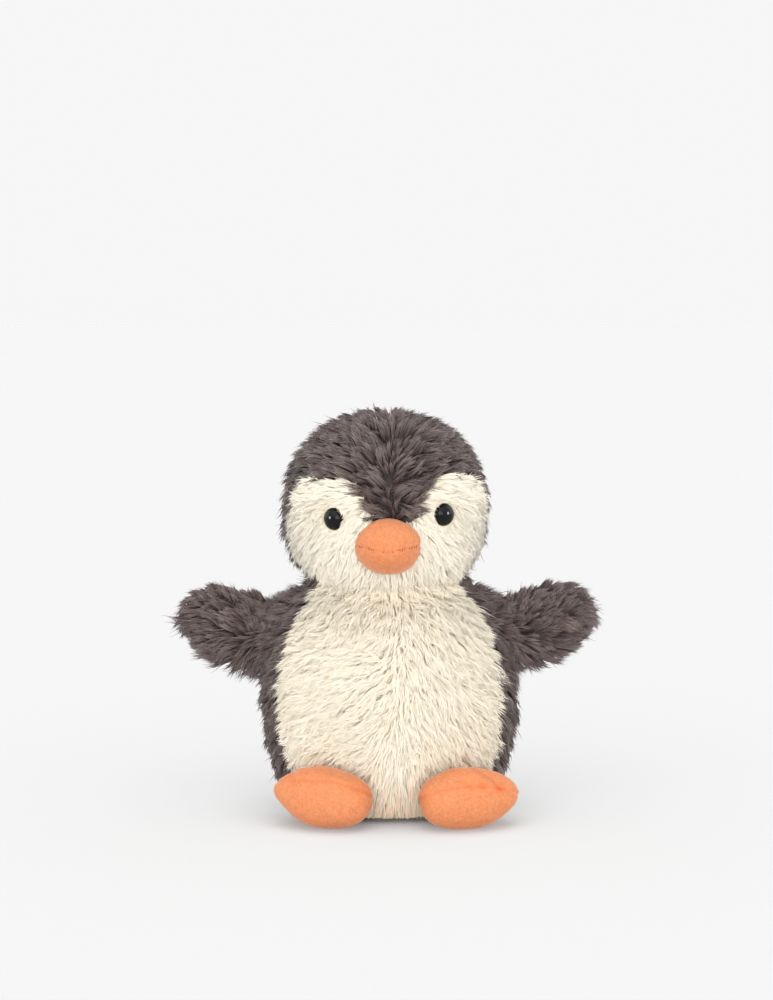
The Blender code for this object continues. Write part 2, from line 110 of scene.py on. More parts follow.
def box(*names):
    """Lowest and highest corner of some CAD nodes, as arrays."""
    corners = [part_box(name) for name in names]
    return np.min([c[0] for c in corners], axis=0), np.max([c[1] for c in corners], axis=0)


def pivot(joint_name):
    return np.array(next(j["pos_m"] for j in frame["joints"] if j["name"] == joint_name))


BODY_LOW, BODY_HIGH = box("belly_panel_left", "belly_panel_right", "back_panel_left", "back_panel_right")
HEAD_LOW, HEAD_HIGH = box("crown_panel_left", "crown_panel_right", "face_panel_left")
FACE_TOP = box("face_panel_left")[1][2]
BEAK_LOW, BEAK_HIGH = box("beak_upper", "beak_lower")
NECK = pivot("neck_nod")
AXIS_Y = NECK[1]


# Surfaces as grids of points, rows by columns


def fullness(share, power):
    return np.maximum(0.0, 1.0 - np.abs(share) ** power) ** (1.0 / power)


def smooth(value, start, end):
    share = np.clip((value - start) / (end - start), 0.0, 1.0)
    return share * share * (3.0 - 2.0 * share)


def unit(vectors):
    return vectors / np.maximum(np.linalg.norm(vectors, axis=-1, keepdims=True), 1e-12)


class Oval:
    """A stuffed form with oval level sections, fuller or slimmer above and below its widest level."""

    def __init__(self, low, high, widest, down, up):
        self.half_x = (high[0] - low[0]) / 2.0
        self.half_y = (high[1] - low[1]) / 2.0
        self.widest, self.down, self.up = widest, down, up

    def radius(self, z):
        rise = np.asarray(z) - self.widest
        return np.where(
            rise > 0.0,
            fullness(rise / self.up[0], self.up[1]),
            fullness(rise / self.down[0], self.down[1]),
        )

    def points(self, azimuth, z, proud=0.0):
        r = self.radius(z)
        x = (self.half_x * r + proud) * np.sin(azimuth)
        y = AXIS_Y - (self.half_y * r + proud) * np.cos(azimuth)
        return np.stack(np.broadcast_arrays(x, y, z), axis=-1)

    def azimuth(self, points):
        return np.arctan2(points[..., 0] / self.half_x, (AXIS_Y - points[..., 1]) / self.half_y)


BODY = Oval(BODY_LOW, BODY_HIGH, BODY_WIDEST, BODY_DOWN, BODY_UP)
HEAD = Oval(HEAD_LOW, HEAD_HIGH, HEAD_WIDEST, HEAD_DOWN, HEAD_UP)
HEAD.half_y = HEAD_HIGH[1] - AXIS_Y


def ripple(points, size, seed):
    """Smooth uneven field from about -1 to 1, with bumps of about the given size."""
    rng = np.random.default_rng(seed)
    total = 0.0
    for _ in range(5):
        wave = unit(rng.normal(size=3)) * rng.uniform(0.7, 1.4) * math.pi / size
        total = total + np.sin(points @ wave + rng.uniform(0.0, 2.0 * math.pi))
    return total / 2.2


class Surface:
    """Grid of points with outward normals, from which fur roots are drawn evenly by area."""

    def __init__(self, grid, lump=0.0, seed=1):
        along_rows, along_columns = np.gradient(grid, axis=0), np.gradient(grid, axis=1)
        self.normals = unit(np.cross(along_columns, along_rows))
        outwards = ((grid - grid.reshape(-1, 3).mean(axis=0)) * self.normals).sum()
        self.normals *= 1.0 if outwards > 0.0 else -1.0
        self.grid = grid + self.normals * (lump * ripple(grid, 24.0 * MM, seed))[..., None]
        self.cells = self.cell_areas()

    def cell_areas(self):
        g = self.grid
        first = np.cross(g[1:, :-1] - g[:-1, :-1], g[:-1, 1:] - g[:-1, :-1])
        second = np.cross(g[1:, :-1] - g[1:, 1:], g[:-1, 1:] - g[1:, 1:])
        return (np.linalg.norm(first, axis=-1) + np.linalg.norm(second, axis=-1)) / 2.0

    def sample(self, per_mm2, rng):
        """Points and normals at random, per square millimetre."""
        count = int(self.cells.sum() * 1e6 * per_mm2)
        chosen = rng.choice(self.cells.size, size=count, p=(self.cells / self.cells.sum()).ravel())
        row, column = np.unravel_index(chosen, self.cells.shape)
        u, v = rng.random((2, count, 1))
        found = []
        for values in (self.grid, self.normals):
            low = values[row, column] * (1 - v) + values[row, column + 1] * v
            high = values[row + 1, column] * (1 - v) + values[row + 1, column + 1] * v
            found.append(low * (1 - u) + high * u)
        return found[0], unit(found[1])


def oval_surface(oval, low, high, rows=48, columns=120, lump=0.0, seed=1):
    """All round an oval from one level to another. Rows crowd towards a closed top."""
    share = np.sin(np.linspace(0.0, math.pi / 2.0, rows)) if oval is HEAD else np.linspace(0.0, 1.0, rows)
    z = (low + (high - low) * share)[:, None]
    azimuth = np.linspace(-math.pi, math.pi, columns + 1)[None, :]
    return Surface(oval.points(azimuth, z), lump, seed)


# Meshes


def make_object(name, vertices, polygons, smooth_shading=True):
    data = bpy.data.meshes.new(name)
    data.from_pydata([tuple(v) for v in vertices], [], polygons)
    data.validate()
    work = bmesh.new()
    work.from_mesh(data)
    bmesh.ops.recalc_face_normals(work, faces=work.faces)
    work.to_mesh(data)
    work.free()
    if smooth_shading:
        data.shade_smooth()
    made = bpy.data.objects.new(name, data)
    bpy.context.scene.collection.objects.link(made)
    return made


def closed_form(name, grid):
    """Closed mesh of a grid whose columns meet, with a point closing each end."""
    rings = grid[:, :-1]
    rows, columns = rings.shape[:2]
    vertices = [p for ring in rings for p in ring] + [rings[0].mean(axis=0), rings[-1].mean(axis=0)]
    first, last = rows * columns, rows * columns + 1
    polygons = []
    for j in range(columns):
        k = (j + 1) % columns
        for i in range(rows - 1):
            polygons.append((i * columns + j, i * columns + k, (i + 1) * columns + k, (i + 1) * columns + j))
        polygons.append((first, k, j))
        polygons.append((last, (rows - 1) * columns + j, (rows - 1) * columns + k))
    return make_object(name, vertices, polygons)


def tube(name, line, radius, sides=8):
    """Closed round tube along a line of points, with domed ends."""
    line = np.asarray(line)
    ahead = unit(np.gradient(line, axis=0))
    helper = np.where(np.abs(ahead[:, 2:3]) > 0.9, np.array([[1.0, 0, 0]]), np.array([[0, 0, 1.0]]))
    across = unit(np.cross(ahead, helper))
    above = np.cross(across, ahead)
    turns = np.linspace(0.0, 2.0 * math.pi, sides + 1)
    ring = across[:, None] * np.cos(turns)[None, :, None] + above[:, None] * np.sin(turns)[None, :, None]
    return closed_form(name, line[:, None] + ring * radius)


# Fur


class Coat:
    """How the pile of one fabric grows. Lengths are in metres."""

    def __init__(self, pile, lay, thick=0.24 * MM, dense=1.5, per_lock=40, per_wisp=8, pinch=0.52,
                 stray=1.0 * MM, sway=14.0, flatten=0.0):
        self.pile, self.lay, self.thick, self.dense = pile, lay, thick, dense
        self.per_lock, self.per_wisp, self.pinch = per_lock, per_wisp, pinch
        self.stray, self.sway, self.flatten = stray, math.radians(sway), flatten


STEPS = np.array([0.0, 0.3, 0.66, 1.0])
RISE = 1.0 - (1.0 - STEPS) ** 2
REACH = STEPS ** 1.3
GIRTH = np.array([0.85, 1.0, 0.72])


def nearest(targets, points):
    tree = KDTree(len(targets))
    for i, p in enumerate(targets):
        tree.insert(p, i)
    tree.balance()
    return np.array([tree.find(p)[1] for p in points])


def turned(vectors, axes, angles):
    """Vectors turned about unit axes."""
    cos, sin = np.cos(angles)[:, None], np.sin(angles)[:, None]
    along = (vectors * axes).sum(axis=1, keepdims=True) * axes
    return vectors * cos + np.cross(axes, vectors) * sin + along * (1 - cos)


def strand_lines(roots, normals, combs, coat, rng, pile_scale=None):
    """Centre lines of strands that gather into wisps and wisps into locks, and each strand's shade."""
    count = len(roots)
    locks = rng.choice(count, size=max(1, count // coat.per_lock), replace=False)
    wisps = rng.choice(count, size=max(1, count // coat.per_wisp), replace=False)
    lock_of_wisp = nearest(roots[locks], roots[wisps])
    wisp_of = nearest(roots[wisps], roots)
    lock_sway = rng.normal(0.0, coat.sway, len(locks))
    sway = lock_sway[lock_of_wisp] + rng.normal(0.0, coat.sway * 0.6, len(wisps))
    flow = turned(unit(combs[wisps]), normals[wisps], sway)
    lift = rng.normal(1.0, 0.16, len(locks))[lock_of_wisp] * rng.normal(1.0, 0.13, len(wisps))
    length = rng.normal(1.0, 0.14, len(locks))[lock_of_wisp] * rng.normal(1.0, 0.12, len(wisps))
    own = np.clip(rng.normal(1.0, 0.1, count), 0.75, 1.2)
    if pile_scale is not None:
        own = own * pile_scale
    up = normals[wisps] * (coat.pile * np.clip(lift, 0.5, 1.35))[:, None]
    out = flow * (coat.lay * np.clip(length, 0.6, 1.35))[:, None]
    bend = up[wisp_of][:, None] * RISE[None, :, None] + out[wisp_of][:, None] * REACH[None, :, None]
    to_wisp = (roots - roots[wisps][wisp_of])[:, None]
    to_lock = (roots[wisps] - roots[locks][lock_of_wisp])[wisp_of][:, None]
    draw = STEPS[None, :, None] ** 0.9
    lines = roots[:, None] + bend * own[:, None, None] - draw * (to_wisp * coat.pinch + to_lock * coat.pinch)
    wild = np.clip(rng.normal(0.0, 1.0, (count, 1, 3)), -2.0, 2.0) * (coat.stray * (STEPS ** 2))[None, :, None]
    lines += wild * np.where(rng.random(count) < 0.07, 2.2, 0.6)[:, None, None]
    shade = 0.5 + rng.normal(0.0, 0.17, len(locks))[lock_of_wisp][wisp_of]
    shade += rng.normal(0.0, 0.1, len(wisps))[wisp_of] + rng.normal(0.0, 0.09, count)
    return lines, np.clip(shade, 0.02, 0.98)


def strand_mesh(name, lines, shade, thick, normals, flatten=0.0):
    """Closed tapered strands with three sides. Their UV holds the shade and the place along the strand."""
    count = len(lines)
    ahead = unit(np.gradient(lines, axis=1))
    across = unit(np.cross(ahead, normals[:, None]))
    above = np.cross(ahead, across)
    rings = []
    for turn in (math.pi / 2.0, math.pi * 7.0 / 6.0, math.pi * 11.0 / 6.0):
        rings.append(across * math.cos(turn) + above * math.sin(turn))
    rings = np.stack(rings, axis=2)[:, :-1] * (GIRTH[None, :, None, None] * thick[:, None, None, None])
    bodies = (lines[:, :-1, None] + rings).reshape(count, 9, 3)
    vertices = np.concatenate([bodies, lines[:, -1:]], axis=1)
    corners, starts, totals, along = [], [], [], []
    level = [0, 0, 0, 1, 1, 1, 2, 2, 2, 3]
    faces = [(0, 2, 1)]
    for ring in (0, 3):
        for j in range(3):
            k = (j + 1) % 3
            faces.append((ring + j, ring + k, ring + 3 + k, ring + 3 + j))
    faces += [(6 + j, 6 + (j + 1) % 3, 9) for j in range(3)]
    for face in faces:
        starts.append(len(corners))
        totals.append(len(face))
        corners += face
        along += [STEPS[level[c]] for c in face]
    corners = np.array(corners)
    loops = (np.arange(count)[:, None] * 10 + corners[None, :]).ravel()
    loop_starts = (np.arange(count)[:, None] * len(corners) + np.array(starts)[None, :]).ravel()
    data = bpy.data.meshes.new(name)
    data.vertices.add(count * 10)
    data.vertices.foreach_set("co", vertices.astype(np.float32).ravel())
    data.loops.add(len(loops))
    data.loops.foreach_set("vertex_index", loops.astype(np.int32))
    data.polygons.add(len(loop_starts))
    data.polygons.foreach_set("loop_start", loop_starts.astype(np.int32))
    data.polygons.foreach_set("use_smooth", np.ones(len(loop_starts), bool))
    data.update(calc_edges=True)
    if flatten:
        radial = np.concatenate([rings.reshape(count, 9, 3), 0.0 * lines[:, -1:]], axis=1)
        shading = unit(unit(radial + 1e-9) * (1.0 - flatten) + normals[:, None] * flatten)
        soft = data.attributes.new("custom_normal", "FLOAT_VECTOR", "POINT")
        soft.data.foreach_set("vector", shading.astype(np.float32).ravel())
    uv = np.empty((count, len(corners), 2), np.float32)
    uv[..., 0] = shade[:, None]
    uv[..., 1] = 0.02 + 0.96 * np.array(along)[None, :]
    data.uv_layers.new(name="OFBake").data.foreach_set("uv", uv.ravel())
    made = bpy.data.objects.new(name, data)
    bpy.context.scene.collection.objects.link(made)
    return made


EYE_BEFORE_WASHER = 3.9 * MM
EYE_CLEAR = {"left": 6.4 * MM, "right": 6.2 * MM}  # radius that fur keeps clear over an eye
EYE_CLEAR_SHIFT = {"left": 0.0, "right": -0.3 * MM}  # sideways, as the inner fur leans over it
EYES = {}  # side: centre, outward direction, clear radius and the clear circle's centre


def clear_of_eyes(lines):
    """Moves strands aside that touch an eye, and says which ones don't lie right across it."""
    kept = np.ones(len(lines), bool)
    for _, out, radius, centre in EYES.values():
        from_eye = lines - centre
        depth = (from_eye * out).sum(axis=-1, keepdims=True)
        flat = from_eye - depth * out
        distance = np.linalg.norm(flat, axis=-1, keepdims=True)
        near = np.abs(depth) < 14.0 * MM
        kept &= ~((distance < 0.88 * radius) & near).any(axis=(1, 2))
        push = np.where((distance < radius) & near, radius / np.maximum(distance, 1e-6), 1.0)
        lines = lines + flat * (push - 1.0)
    return lines, kept


def fur(name, surface, keep, comb, coat, material, body, seed, pile_scale=None):
    """Grows fur where keep says, combed by comb, as one or more pieces that ride on a body."""
    rng = np.random.default_rng(seed)
    roots, normals = surface.sample(coat.dense, rng)
    kept = keep(roots, normals, rng)
    roots, normals = roots[kept], normals[kept]
    combs = comb(roots, normals)
    combs = combs - (combs * normals).sum(axis=1, keepdims=True) * normals
    scale = None if pile_scale is None else pile_scale(roots)
    lines, shade = strand_lines(roots, normals, combs, coat, rng, scale)
    lines, kept = clear_of_eyes(lines)
    roots, normals, lines, shade = roots[kept], normals[kept], lines[kept], shade[kept]
    lines[..., 2] = np.maximum(lines[..., 2], 0.6 * MM + 0.4 * MM * rng.random((len(lines), 1)))
    thick = coat.thick * rng.uniform(0.75, 1.25, len(lines))
    made = []
    parts = math.ceil(len(lines) / MOST_STRANDS)
    order = np.argsort(roots[:, 2], kind="stable")
    for i, chosen in enumerate(np.array_split(order, parts)):
        label = name if parts == 1 else f"{name}_{i + 1}"
        piece = strand_mesh(label, lines[chosen], shade[chosen], thick[chosen], normals[chosen],
                            coat.flatten)
        piece.data.materials.append(material)
        if body:
            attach(piece, body)
        made.append(piece)
    return made


# Materials


def linear(colour):
    return tuple(c / 12.92 if c <= 0.04045 else ((c + 0.055) / 1.055) ** 2.4 for c in (v / 255.0 for v in colour))


def new_material(name, roughness, sheen=0.0, sheen_roughness=0.5, sheen_tint=(255, 255, 255)):
    made = bpy.data.materials.new(name)
    made.use_nodes = True
    shader = made.node_tree.nodes["Principled BSDF"]
    shader.inputs["Roughness"].default_value = roughness
    shader.inputs["Sheen Weight"].default_value = sheen
    shader.inputs["Sheen Roughness"].default_value = sheen_roughness
    shader.inputs["Sheen Tint"].default_value = (*linear(sheen_tint), 1.0)
    return made, made.node_tree.nodes, made.node_tree.links, shader


def ramp(nodes, stops):
    """Colour ramp from (position, colour) stops."""
    made = nodes.new("ShaderNodeValToRGB")
    items = made.color_ramp.elements
    while len(items) < len(stops):
        items.new(0.5)
    for item, (position, colour) in zip(items, stops):
        item.position = position
        item.color = (*linear(colour), 1.0)
    return made


def fur_material(name, dark, light, roughness=0.6, sheen=0.15):
    """Strand colours from root to tip, between a darker and a lighter set of three colours. The colours along a strand
    are painted light: the roots carry painted shade from deep in the pile (darker on the grey fur, warmer and yellower
    on the cream), the grey fur's lighter tips are a painted highlight, and the cream fur's tips are toned down where
    they catch the most light.
    """
    made, nodes, links, shader = new_material(name, roughness, sheen, 0.45)
    shader.inputs["Specular IOR Level"].default_value = 0.3
    place = nodes.new("ShaderNodeUVMap")
    place.uv_map = "OFBake"
    split = nodes.new("ShaderNodeSeparateXYZ")
    links.new(place.outputs["UV"], split.inputs["Vector"])
    mix = nodes.new("ShaderNodeMix")
    mix.data_type = "RGBA"
    links.new(split.outputs["X"], mix.inputs["Factor"])
    for colours, socket in ((dark, 6), (light, 7)):
        along = ramp(nodes, list(zip((0.0, 0.45, 1.0), colours)))
        links.new(split.outputs["Y"], along.inputs["Fac"])
        links.new(along.outputs["Color"], mix.inputs[socket])
    links.new(mix.outputs[2], shader.inputs["Base Color"])
    return made


def noise(nodes, links, scale, detail=3.0, rough=0.55):
    place = nodes.new("ShaderNodeTexCoord")
    made = nodes.new("ShaderNodeTexNoise")
    made.inputs["Scale"].default_value = scale
    made.inputs["Detail"].default_value = detail
    made.inputs["Roughness"].default_value = rough
    links.new(place.outputs["Object"], made.inputs["Vector"])
    return made


def bump(nodes, links, shader, sources):
    """Chains bumps of (height socket, depth in metres)."""
    last = None
    for height, depth in sources:
        made = nodes.new("ShaderNodeBump")
        made.inputs["Strength"].default_value = 1.0
        made.inputs["Distance"].default_value = depth
        links.new(height, made.inputs["Height"])
        if last:
            links.new(last.outputs["Normal"], made.inputs["Normal"])
        last = made
    links.new(last.outputs["Normal"], shader.inputs["Normal"])


def suede_material(name, deep, middle, pale):
    """Short-napped suede: brushed patches, fine grain, and painted shade that darkens its creases, read from a point
    attribute.
    """
    made, nodes, links, shader = new_material(name, 0.88, 0.4, 0.3, (255, 222, 200))
    patches = noise(nodes, links, 260.0, 5.0, 0.65)
    grain = noise(nodes, links, 2600.0, 2.0, 0.6)
    nap = noise(nodes, links, 700.0, 3.0, 0.6)
    colours = ramp(nodes, [(0.3, deep), (0.52, middle), (0.75, pale)])
    links.new(patches.outputs["Fac"], colours.inputs["Fac"])
    fleck = ramp(nodes, [(0.35, (214, 214, 214)), (0.65, (255, 255, 255))])
    links.new(nap.outputs["Fac"], fleck.inputs["Fac"])
    both = nodes.new("ShaderNodeMix")
    both.data_type = "RGBA"
    both.blend_type = "MULTIPLY"
    both.inputs["Factor"].default_value = 0.55
    links.new(colours.outputs["Color"], both.inputs[6])
    links.new(fleck.outputs["Color"], both.inputs[7])
    # Painted shade: a deeper orange is mixed in by the crease attribute, where shade falls in seams, puckers and
    # folds.
    painted_shade = nodes.new("ShaderNodeAttribute")
    painted_shade.attribute_name = "Crease"
    shadow = nodes.new("ShaderNodeMix")
    shadow.data_type = "RGBA"
    shadow.inputs[7].default_value = (*linear((200, 90, 40)), 1.0)
    links.new(painted_shade.outputs["Fac"], shadow.inputs["Factor"])
    links.new(both.outputs[2], shadow.inputs[6])
    links.new(shadow.outputs[2], shader.inputs["Base Color"])
    bump(nodes, links, shader, [(nap.outputs["Fac"], 0.12 * MM), (grain.outputs["Fac"], 0.06 * MM)])
    return made


def knit_material(name, low, high, scale=900.0):
    """Knitted backing: small loops in rows, with slightly uneven dye."""
    made, nodes, links, shader = new_material(name, 0.92, 0.2, 0.5)
    loops = nodes.new("ShaderNodeTexVoronoi")
    loops.inputs["Scale"].default_value = scale
    place = nodes.new("ShaderNodeTexCoord")
    links.new(place.outputs["Object"], loops.inputs["Vector"])
    dye = noise(nodes, links, 90.0)
    colours = ramp(nodes, [(0.3, low), (0.7, high)])
    links.new(dye.outputs["Fac"], colours.inputs["Fac"])
    links.new(colours.outputs["Color"], shader.inputs["Base Color"])
    bump(nodes, links, shader, [(loops.outputs["Distance"], 0.2 * MM)])
    return made


def gloss_material(name):
    """Black moulded plastic with a clear gloss and faint moulding marks."""
    made, nodes, links, shader = new_material(name, 0.06)
    shader.inputs["Specular IOR Level"].default_value = 0.22
    cloud = noise(nodes, links, 300.0)
    colours = ramp(nodes, [(0.35, (5, 4, 5)), (0.7, (11, 9, 10))])
    links.new(cloud.outputs["Fac"], colours.inputs["Fac"])
    links.new(colours.outputs["Color"], shader.inputs["Base Color"])
    bump(nodes, links, shader, [(cloud.outputs["Fac"], 0.01 * MM)])
    return made


# Along each ramp the darker, warmer roots are painted shade, and the grey fur's light tips a painted highlight.
GREY_FUR = fur_material(
    "grey_fur",
    [(41, 30, 29), (69, 55, 53), (89, 74, 71)],
    [(67, 53, 51), (109, 92, 88), (157, 141, 136)],
)
CREAM_FUR = fur_material(
    "cream_fur",
    [(249, 233, 199), (243, 232, 207), (240, 228, 206)],
    [(250, 240, 217), (244, 235, 216), (241, 232, 214)],
)
# The face fur is whiter than the belly's and is also brightened as painted light, since the face gets less light than
# the belly.
FACE_FUR = fur_material(
    "face_fur",
    [(250, 236, 206), (246, 236, 214), (243, 233, 214)],
    [(251, 243, 224), (246, 239, 223), (244, 237, 221)],
)
HEM_FUR = fur_material(
    "hem_fur",
    [(246, 206, 168), (246, 214, 182), (246, 218, 188)],
    [(250, 222, 194), (250, 228, 204), (250, 231, 208)],
)
SUEDE = suede_material("orange_suede", (203, 123, 76), (209, 129, 82), (215, 136, 90))
GREY_KNIT = knit_material("grey_knit", (50, 40, 39), (62, 51, 50))
# The cream backing is warmed and brightened as painted light, so that the shade in the gaps between locks looks warm.
CREAM_KNIT = knit_material("cream_knit", (250, 234, 200), (253, 242, 214))
CALICO = knit_material("calico", (214, 203, 182), (234, 226, 208), 1400.0)
FIBRE = knit_material("fibre", (232, 232, 228), (248, 248, 245), 500.0)
WASHER = knit_material("washer_plastic", (216, 216, 210), (230, 230, 226), 200.0)
THREAD = knit_material("brown_thread", (120, 52, 28), (152, 74, 42), 2600.0)
EYE_GLOSS = gloss_material("black_gloss")


# Regions of the head and body


def face_edge(azimuth):
    """Where the face meets the back of the head, which is further round on the left."""
    return np.where(azimuth > 0.0, FACE_EDGE["left"], FACE_EDGE["right"])


def cap_level(azimuth):
    """Level of the seam between face and crown: a peak over the beak, brows, then down the temples."""
    turn = np.abs(azimuth)
    edge = face_edge(azimuth)
    from_peak = np.abs(azimuth - PEAK_SHIFT)
    brow_pitch = math.asin(min(1.0, (FACE_TOP - 2.4 * MM - HEAD_WIDEST) / HEAD_UP[0]))
    rise = 1.0 - (1.0 - np.clip((from_peak - PEAK_TURN) / (BROW_TURN - PEAK_TURN), 0.0, 1.0)) ** 2.4
    fall = smooth(turn, edge - TEMPLE_FALL, edge)
    pitch = PEAK_PITCH + (brow_pitch - PEAK_PITCH) * rise
    half = np.where(pitch > 0.0, HEAD_UP[0], HEAD_DOWN[0])
    brow = HEAD_WIDEST + half * np.sin(pitch)
    arch = np.where(azimuth > 0.0, 1.9 * MM, -1.3 * MM) * np.exp(-(((turn - BROW_ARCH) / math.radians(16.0)) ** 2))
    brow = brow + (arch - 4.0 * MM * smooth(turn, math.radians(54.0), math.radians(82.0))) * rise
    return brow + (HEAD_LOW[2] + 4.0 * MM - brow) * fall


def in_face(points):
    azimuth = HEAD.azimuth(points)
    return (np.abs(azimuth) < face_edge(azimuth)) & (points[..., 2] < cap_level(azimuth))


def in_belly(points):
    azimuth = BODY.azimuth(points)
    top_edge = np.where(azimuth > 0.0, BELLY_TOP_EDGE["left"], BELLY_TOP_EDGE["right"])
    edge = BELLY_EDGE + (top_edge - BELLY_EDGE) * smooth(points[..., 2], *BELLY_FLARE)
    edge = edge - BELLY_CORNER * smooth(points[..., 2], 36.0 * MM, 20.0 * MM)
    return np.abs(azimuth) < edge


def side_of(points, soft=5.0 * MM):
    """-1 to the right and 1 to the left, turning gradually along an uneven parting."""
    wander = 1.5 * MM * ripple(points, 20.0 * MM, 17)
    return np.tanh((points[:, 0] + wander) / soft)


def vectors(x, y, z, count):
    return np.stack([np.broadcast_to(v, count) for v in (x, y, z)], axis=-1).astype(float)


# Combing


def comb_crown(points, normals):
    """From the parting outwards and up over the forehead, then down the sides and the back."""
    x = np.abs(points[:, 0])
    behind = smooth((points[:, 1] - AXIS_Y) / HEAD.half_y, -0.1, 0.7)
    crest = 0.8 * np.exp(-((x / (15.0 * MM)) ** 2)) * smooth(points[:, 2], 178.0 * MM, 196.0 * MM)
    front_rise = 0.3 + crest - 0.9 * smooth(x, 20.0 * MM, 47.0 * MM)
    rise = front_rise * (1.0 - behind) * smooth(points[:, 2], 208.0 * MM, 186.0 * MM) - 1.1 * behind
    out = side_of(points - (2.5 * MM, 0.0, 0.0)) * (1.0 - 0.55 * behind)
    back = 0.45 * smooth(points[:, 2], HEAD_WIDEST, HEAD_HIGH[2])
    return vectors(out, back, rise, len(points))


def comb_face(points, normals):
    """Outwards above the eyes, turning down over the cheeks and the chin."""
    x = points[:, 0]
    z = points[:, 2] - (BEAK_LOW[2] + BEAK_HIGH[2]) / 2.0
    reach = np.maximum(np.hypot(x, z), 1.0 * MM)
    down = smooth(points[:, 2], 174.0 * MM, 156.0 * MM)
    out = x / reach * (1.0 - 0.62 * down)
    return vectors(out, 0.2, (1.0 - down) * (0.3 * z / reach - 0.2) - 0.9 * down, len(points))


def comb_belly(points, normals):
    """Right of the faint parting it flows outwards and down, left of it mostly down."""
    x, z = points[:, 0], points[:, 2]
    left = 0.5 + 0.5 * side_of(points - (3.5 * MM, 0.0, 0.0), 9.0 * MM)
    out_right = -0.9
    fall_right = 0.48 + 0.95 * smooth(z, 46.0 * MM, 14.0 * MM)
    out_left = 0.32 + 0.65 * smooth(x, 28.0 * MM, 52.0 * MM)
    straight = 0.85 * smooth(z, 90.0 * MM, 112.0 * MM)
    straight = np.maximum(straight, 0.8 * smooth(z, 34.0 * MM, 12.0 * MM) * np.exp(-((x / (24.0 * MM)) ** 2)))
    out = (out_right * (1.0 - left) + out_left * left) * (1.0 - straight)
    return vectors(out, 0.0, -(fall_right * (1.0 - left) + left + straight), len(points))


def comb_back(points, normals):
    return vectors(side_of(points) * 0.45, 0.1, -1.0, len(points))


def comb_down(points, normals):
    return vectors(side_of(points) * 0.2, 0.0, -1.0, len(points))


# Covers: the stuffed fabric that the fur stands on


def cover(grid, name, body, nodes, materials, choose=None):
    made = closed_form(name, grid)
    for material in materials:
        made.data.materials.append(material)
    if choose:
        centres = np.array([p.center for p in made.data.polygons])
        made.data.polygons.foreach_set("material_index", choose(centres).astype(np.int32))
    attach(made, body)
    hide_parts(*nodes)
    return made


def backing(surface, depth=0.3 * MM):
    return surface.grid - surface.normals * depth


def make_body():
    surface = oval_surface(BODY, BODY_LOW[2], BODY_HIGH[2], lump=0.8 * MM, seed=3)
    panels = ["belly_panel_left", "belly_panel_right", "back_panel_left", "back_panel_right"]
    cover(backing(surface), "body_cover", "body", panels, [CREAM_KNIT, GREY_KNIT],
          lambda p: ~in_belly(p))
    belly = Coat(5.3 * MM, 7.8 * MM, dense=2.6, thick=0.22 * MM, per_lock=28, per_wisp=6, pinch=0.23,
                 stray=1.3 * MM, sway=15.0, flatten=0.93)
    back = Coat(6.2 * MM, 8.5 * MM, dense=1.15, thick=0.29 * MM, per_lock=40, per_wisp=7)

    def hem(points, rng):
        chance = smooth(points[:, 2], 34.0 * MM, 8.0 * MM)
        return rng.random(len(points)) < chance * 0.85

    def fuller_left(points):
        x, z = points[:, 0], points[:, 2]
        top = 0.25 * smooth(z, 98.0 * MM, 114.0 * MM)
        return 1.0 + 0.12 * x / BODY.half_x + top - 0.3 * smooth(z, 62.0 * MM, 30.0 * MM) * (np.abs(x) > 40.0 * MM)

    fur("fur_belly", surface, lambda p, n, r: in_belly(p) & ~hem(p, r), comb_belly, belly, CREAM_FUR, "body", 11,
        fuller_left)
    fur("fur_hem", surface, lambda p, n, r: in_belly(p) & hem(p, r), comb_belly, belly, HEM_FUR, "body", 12)
    fur("fur_back", surface, lambda p, n, r: ~in_belly(p), comb_back, back, GREY_FUR, "body", 13, fuller_left)


def near_eye(points, beyond):
    hit = np.zeros(len(points), bool)
    for _, out, clear, centre in EYES.values():
        from_eye = points - centre
        depth = (from_eye * out).sum(axis=1)
        flat = np.linalg.norm(from_eye - depth[:, None] * out, axis=1)
        hit |= (flat < clear + beyond) & (np.abs(depth) < 10.0 * MM)
    return hit


def under_beak(points):
    centre = (BEAK_LOW + BEAK_HIGH) / 2.0
    half = (BEAK_HIGH - BEAK_LOW) / 2.0 - 2.2 * MM
    share = ((points[:, 0] - centre[0]) / half[0]) ** 2 + ((points[:, 2] - centre[2]) / half[2]) ** 2
    return (share < 1.0) & (points[:, 1] < AXIS_Y)


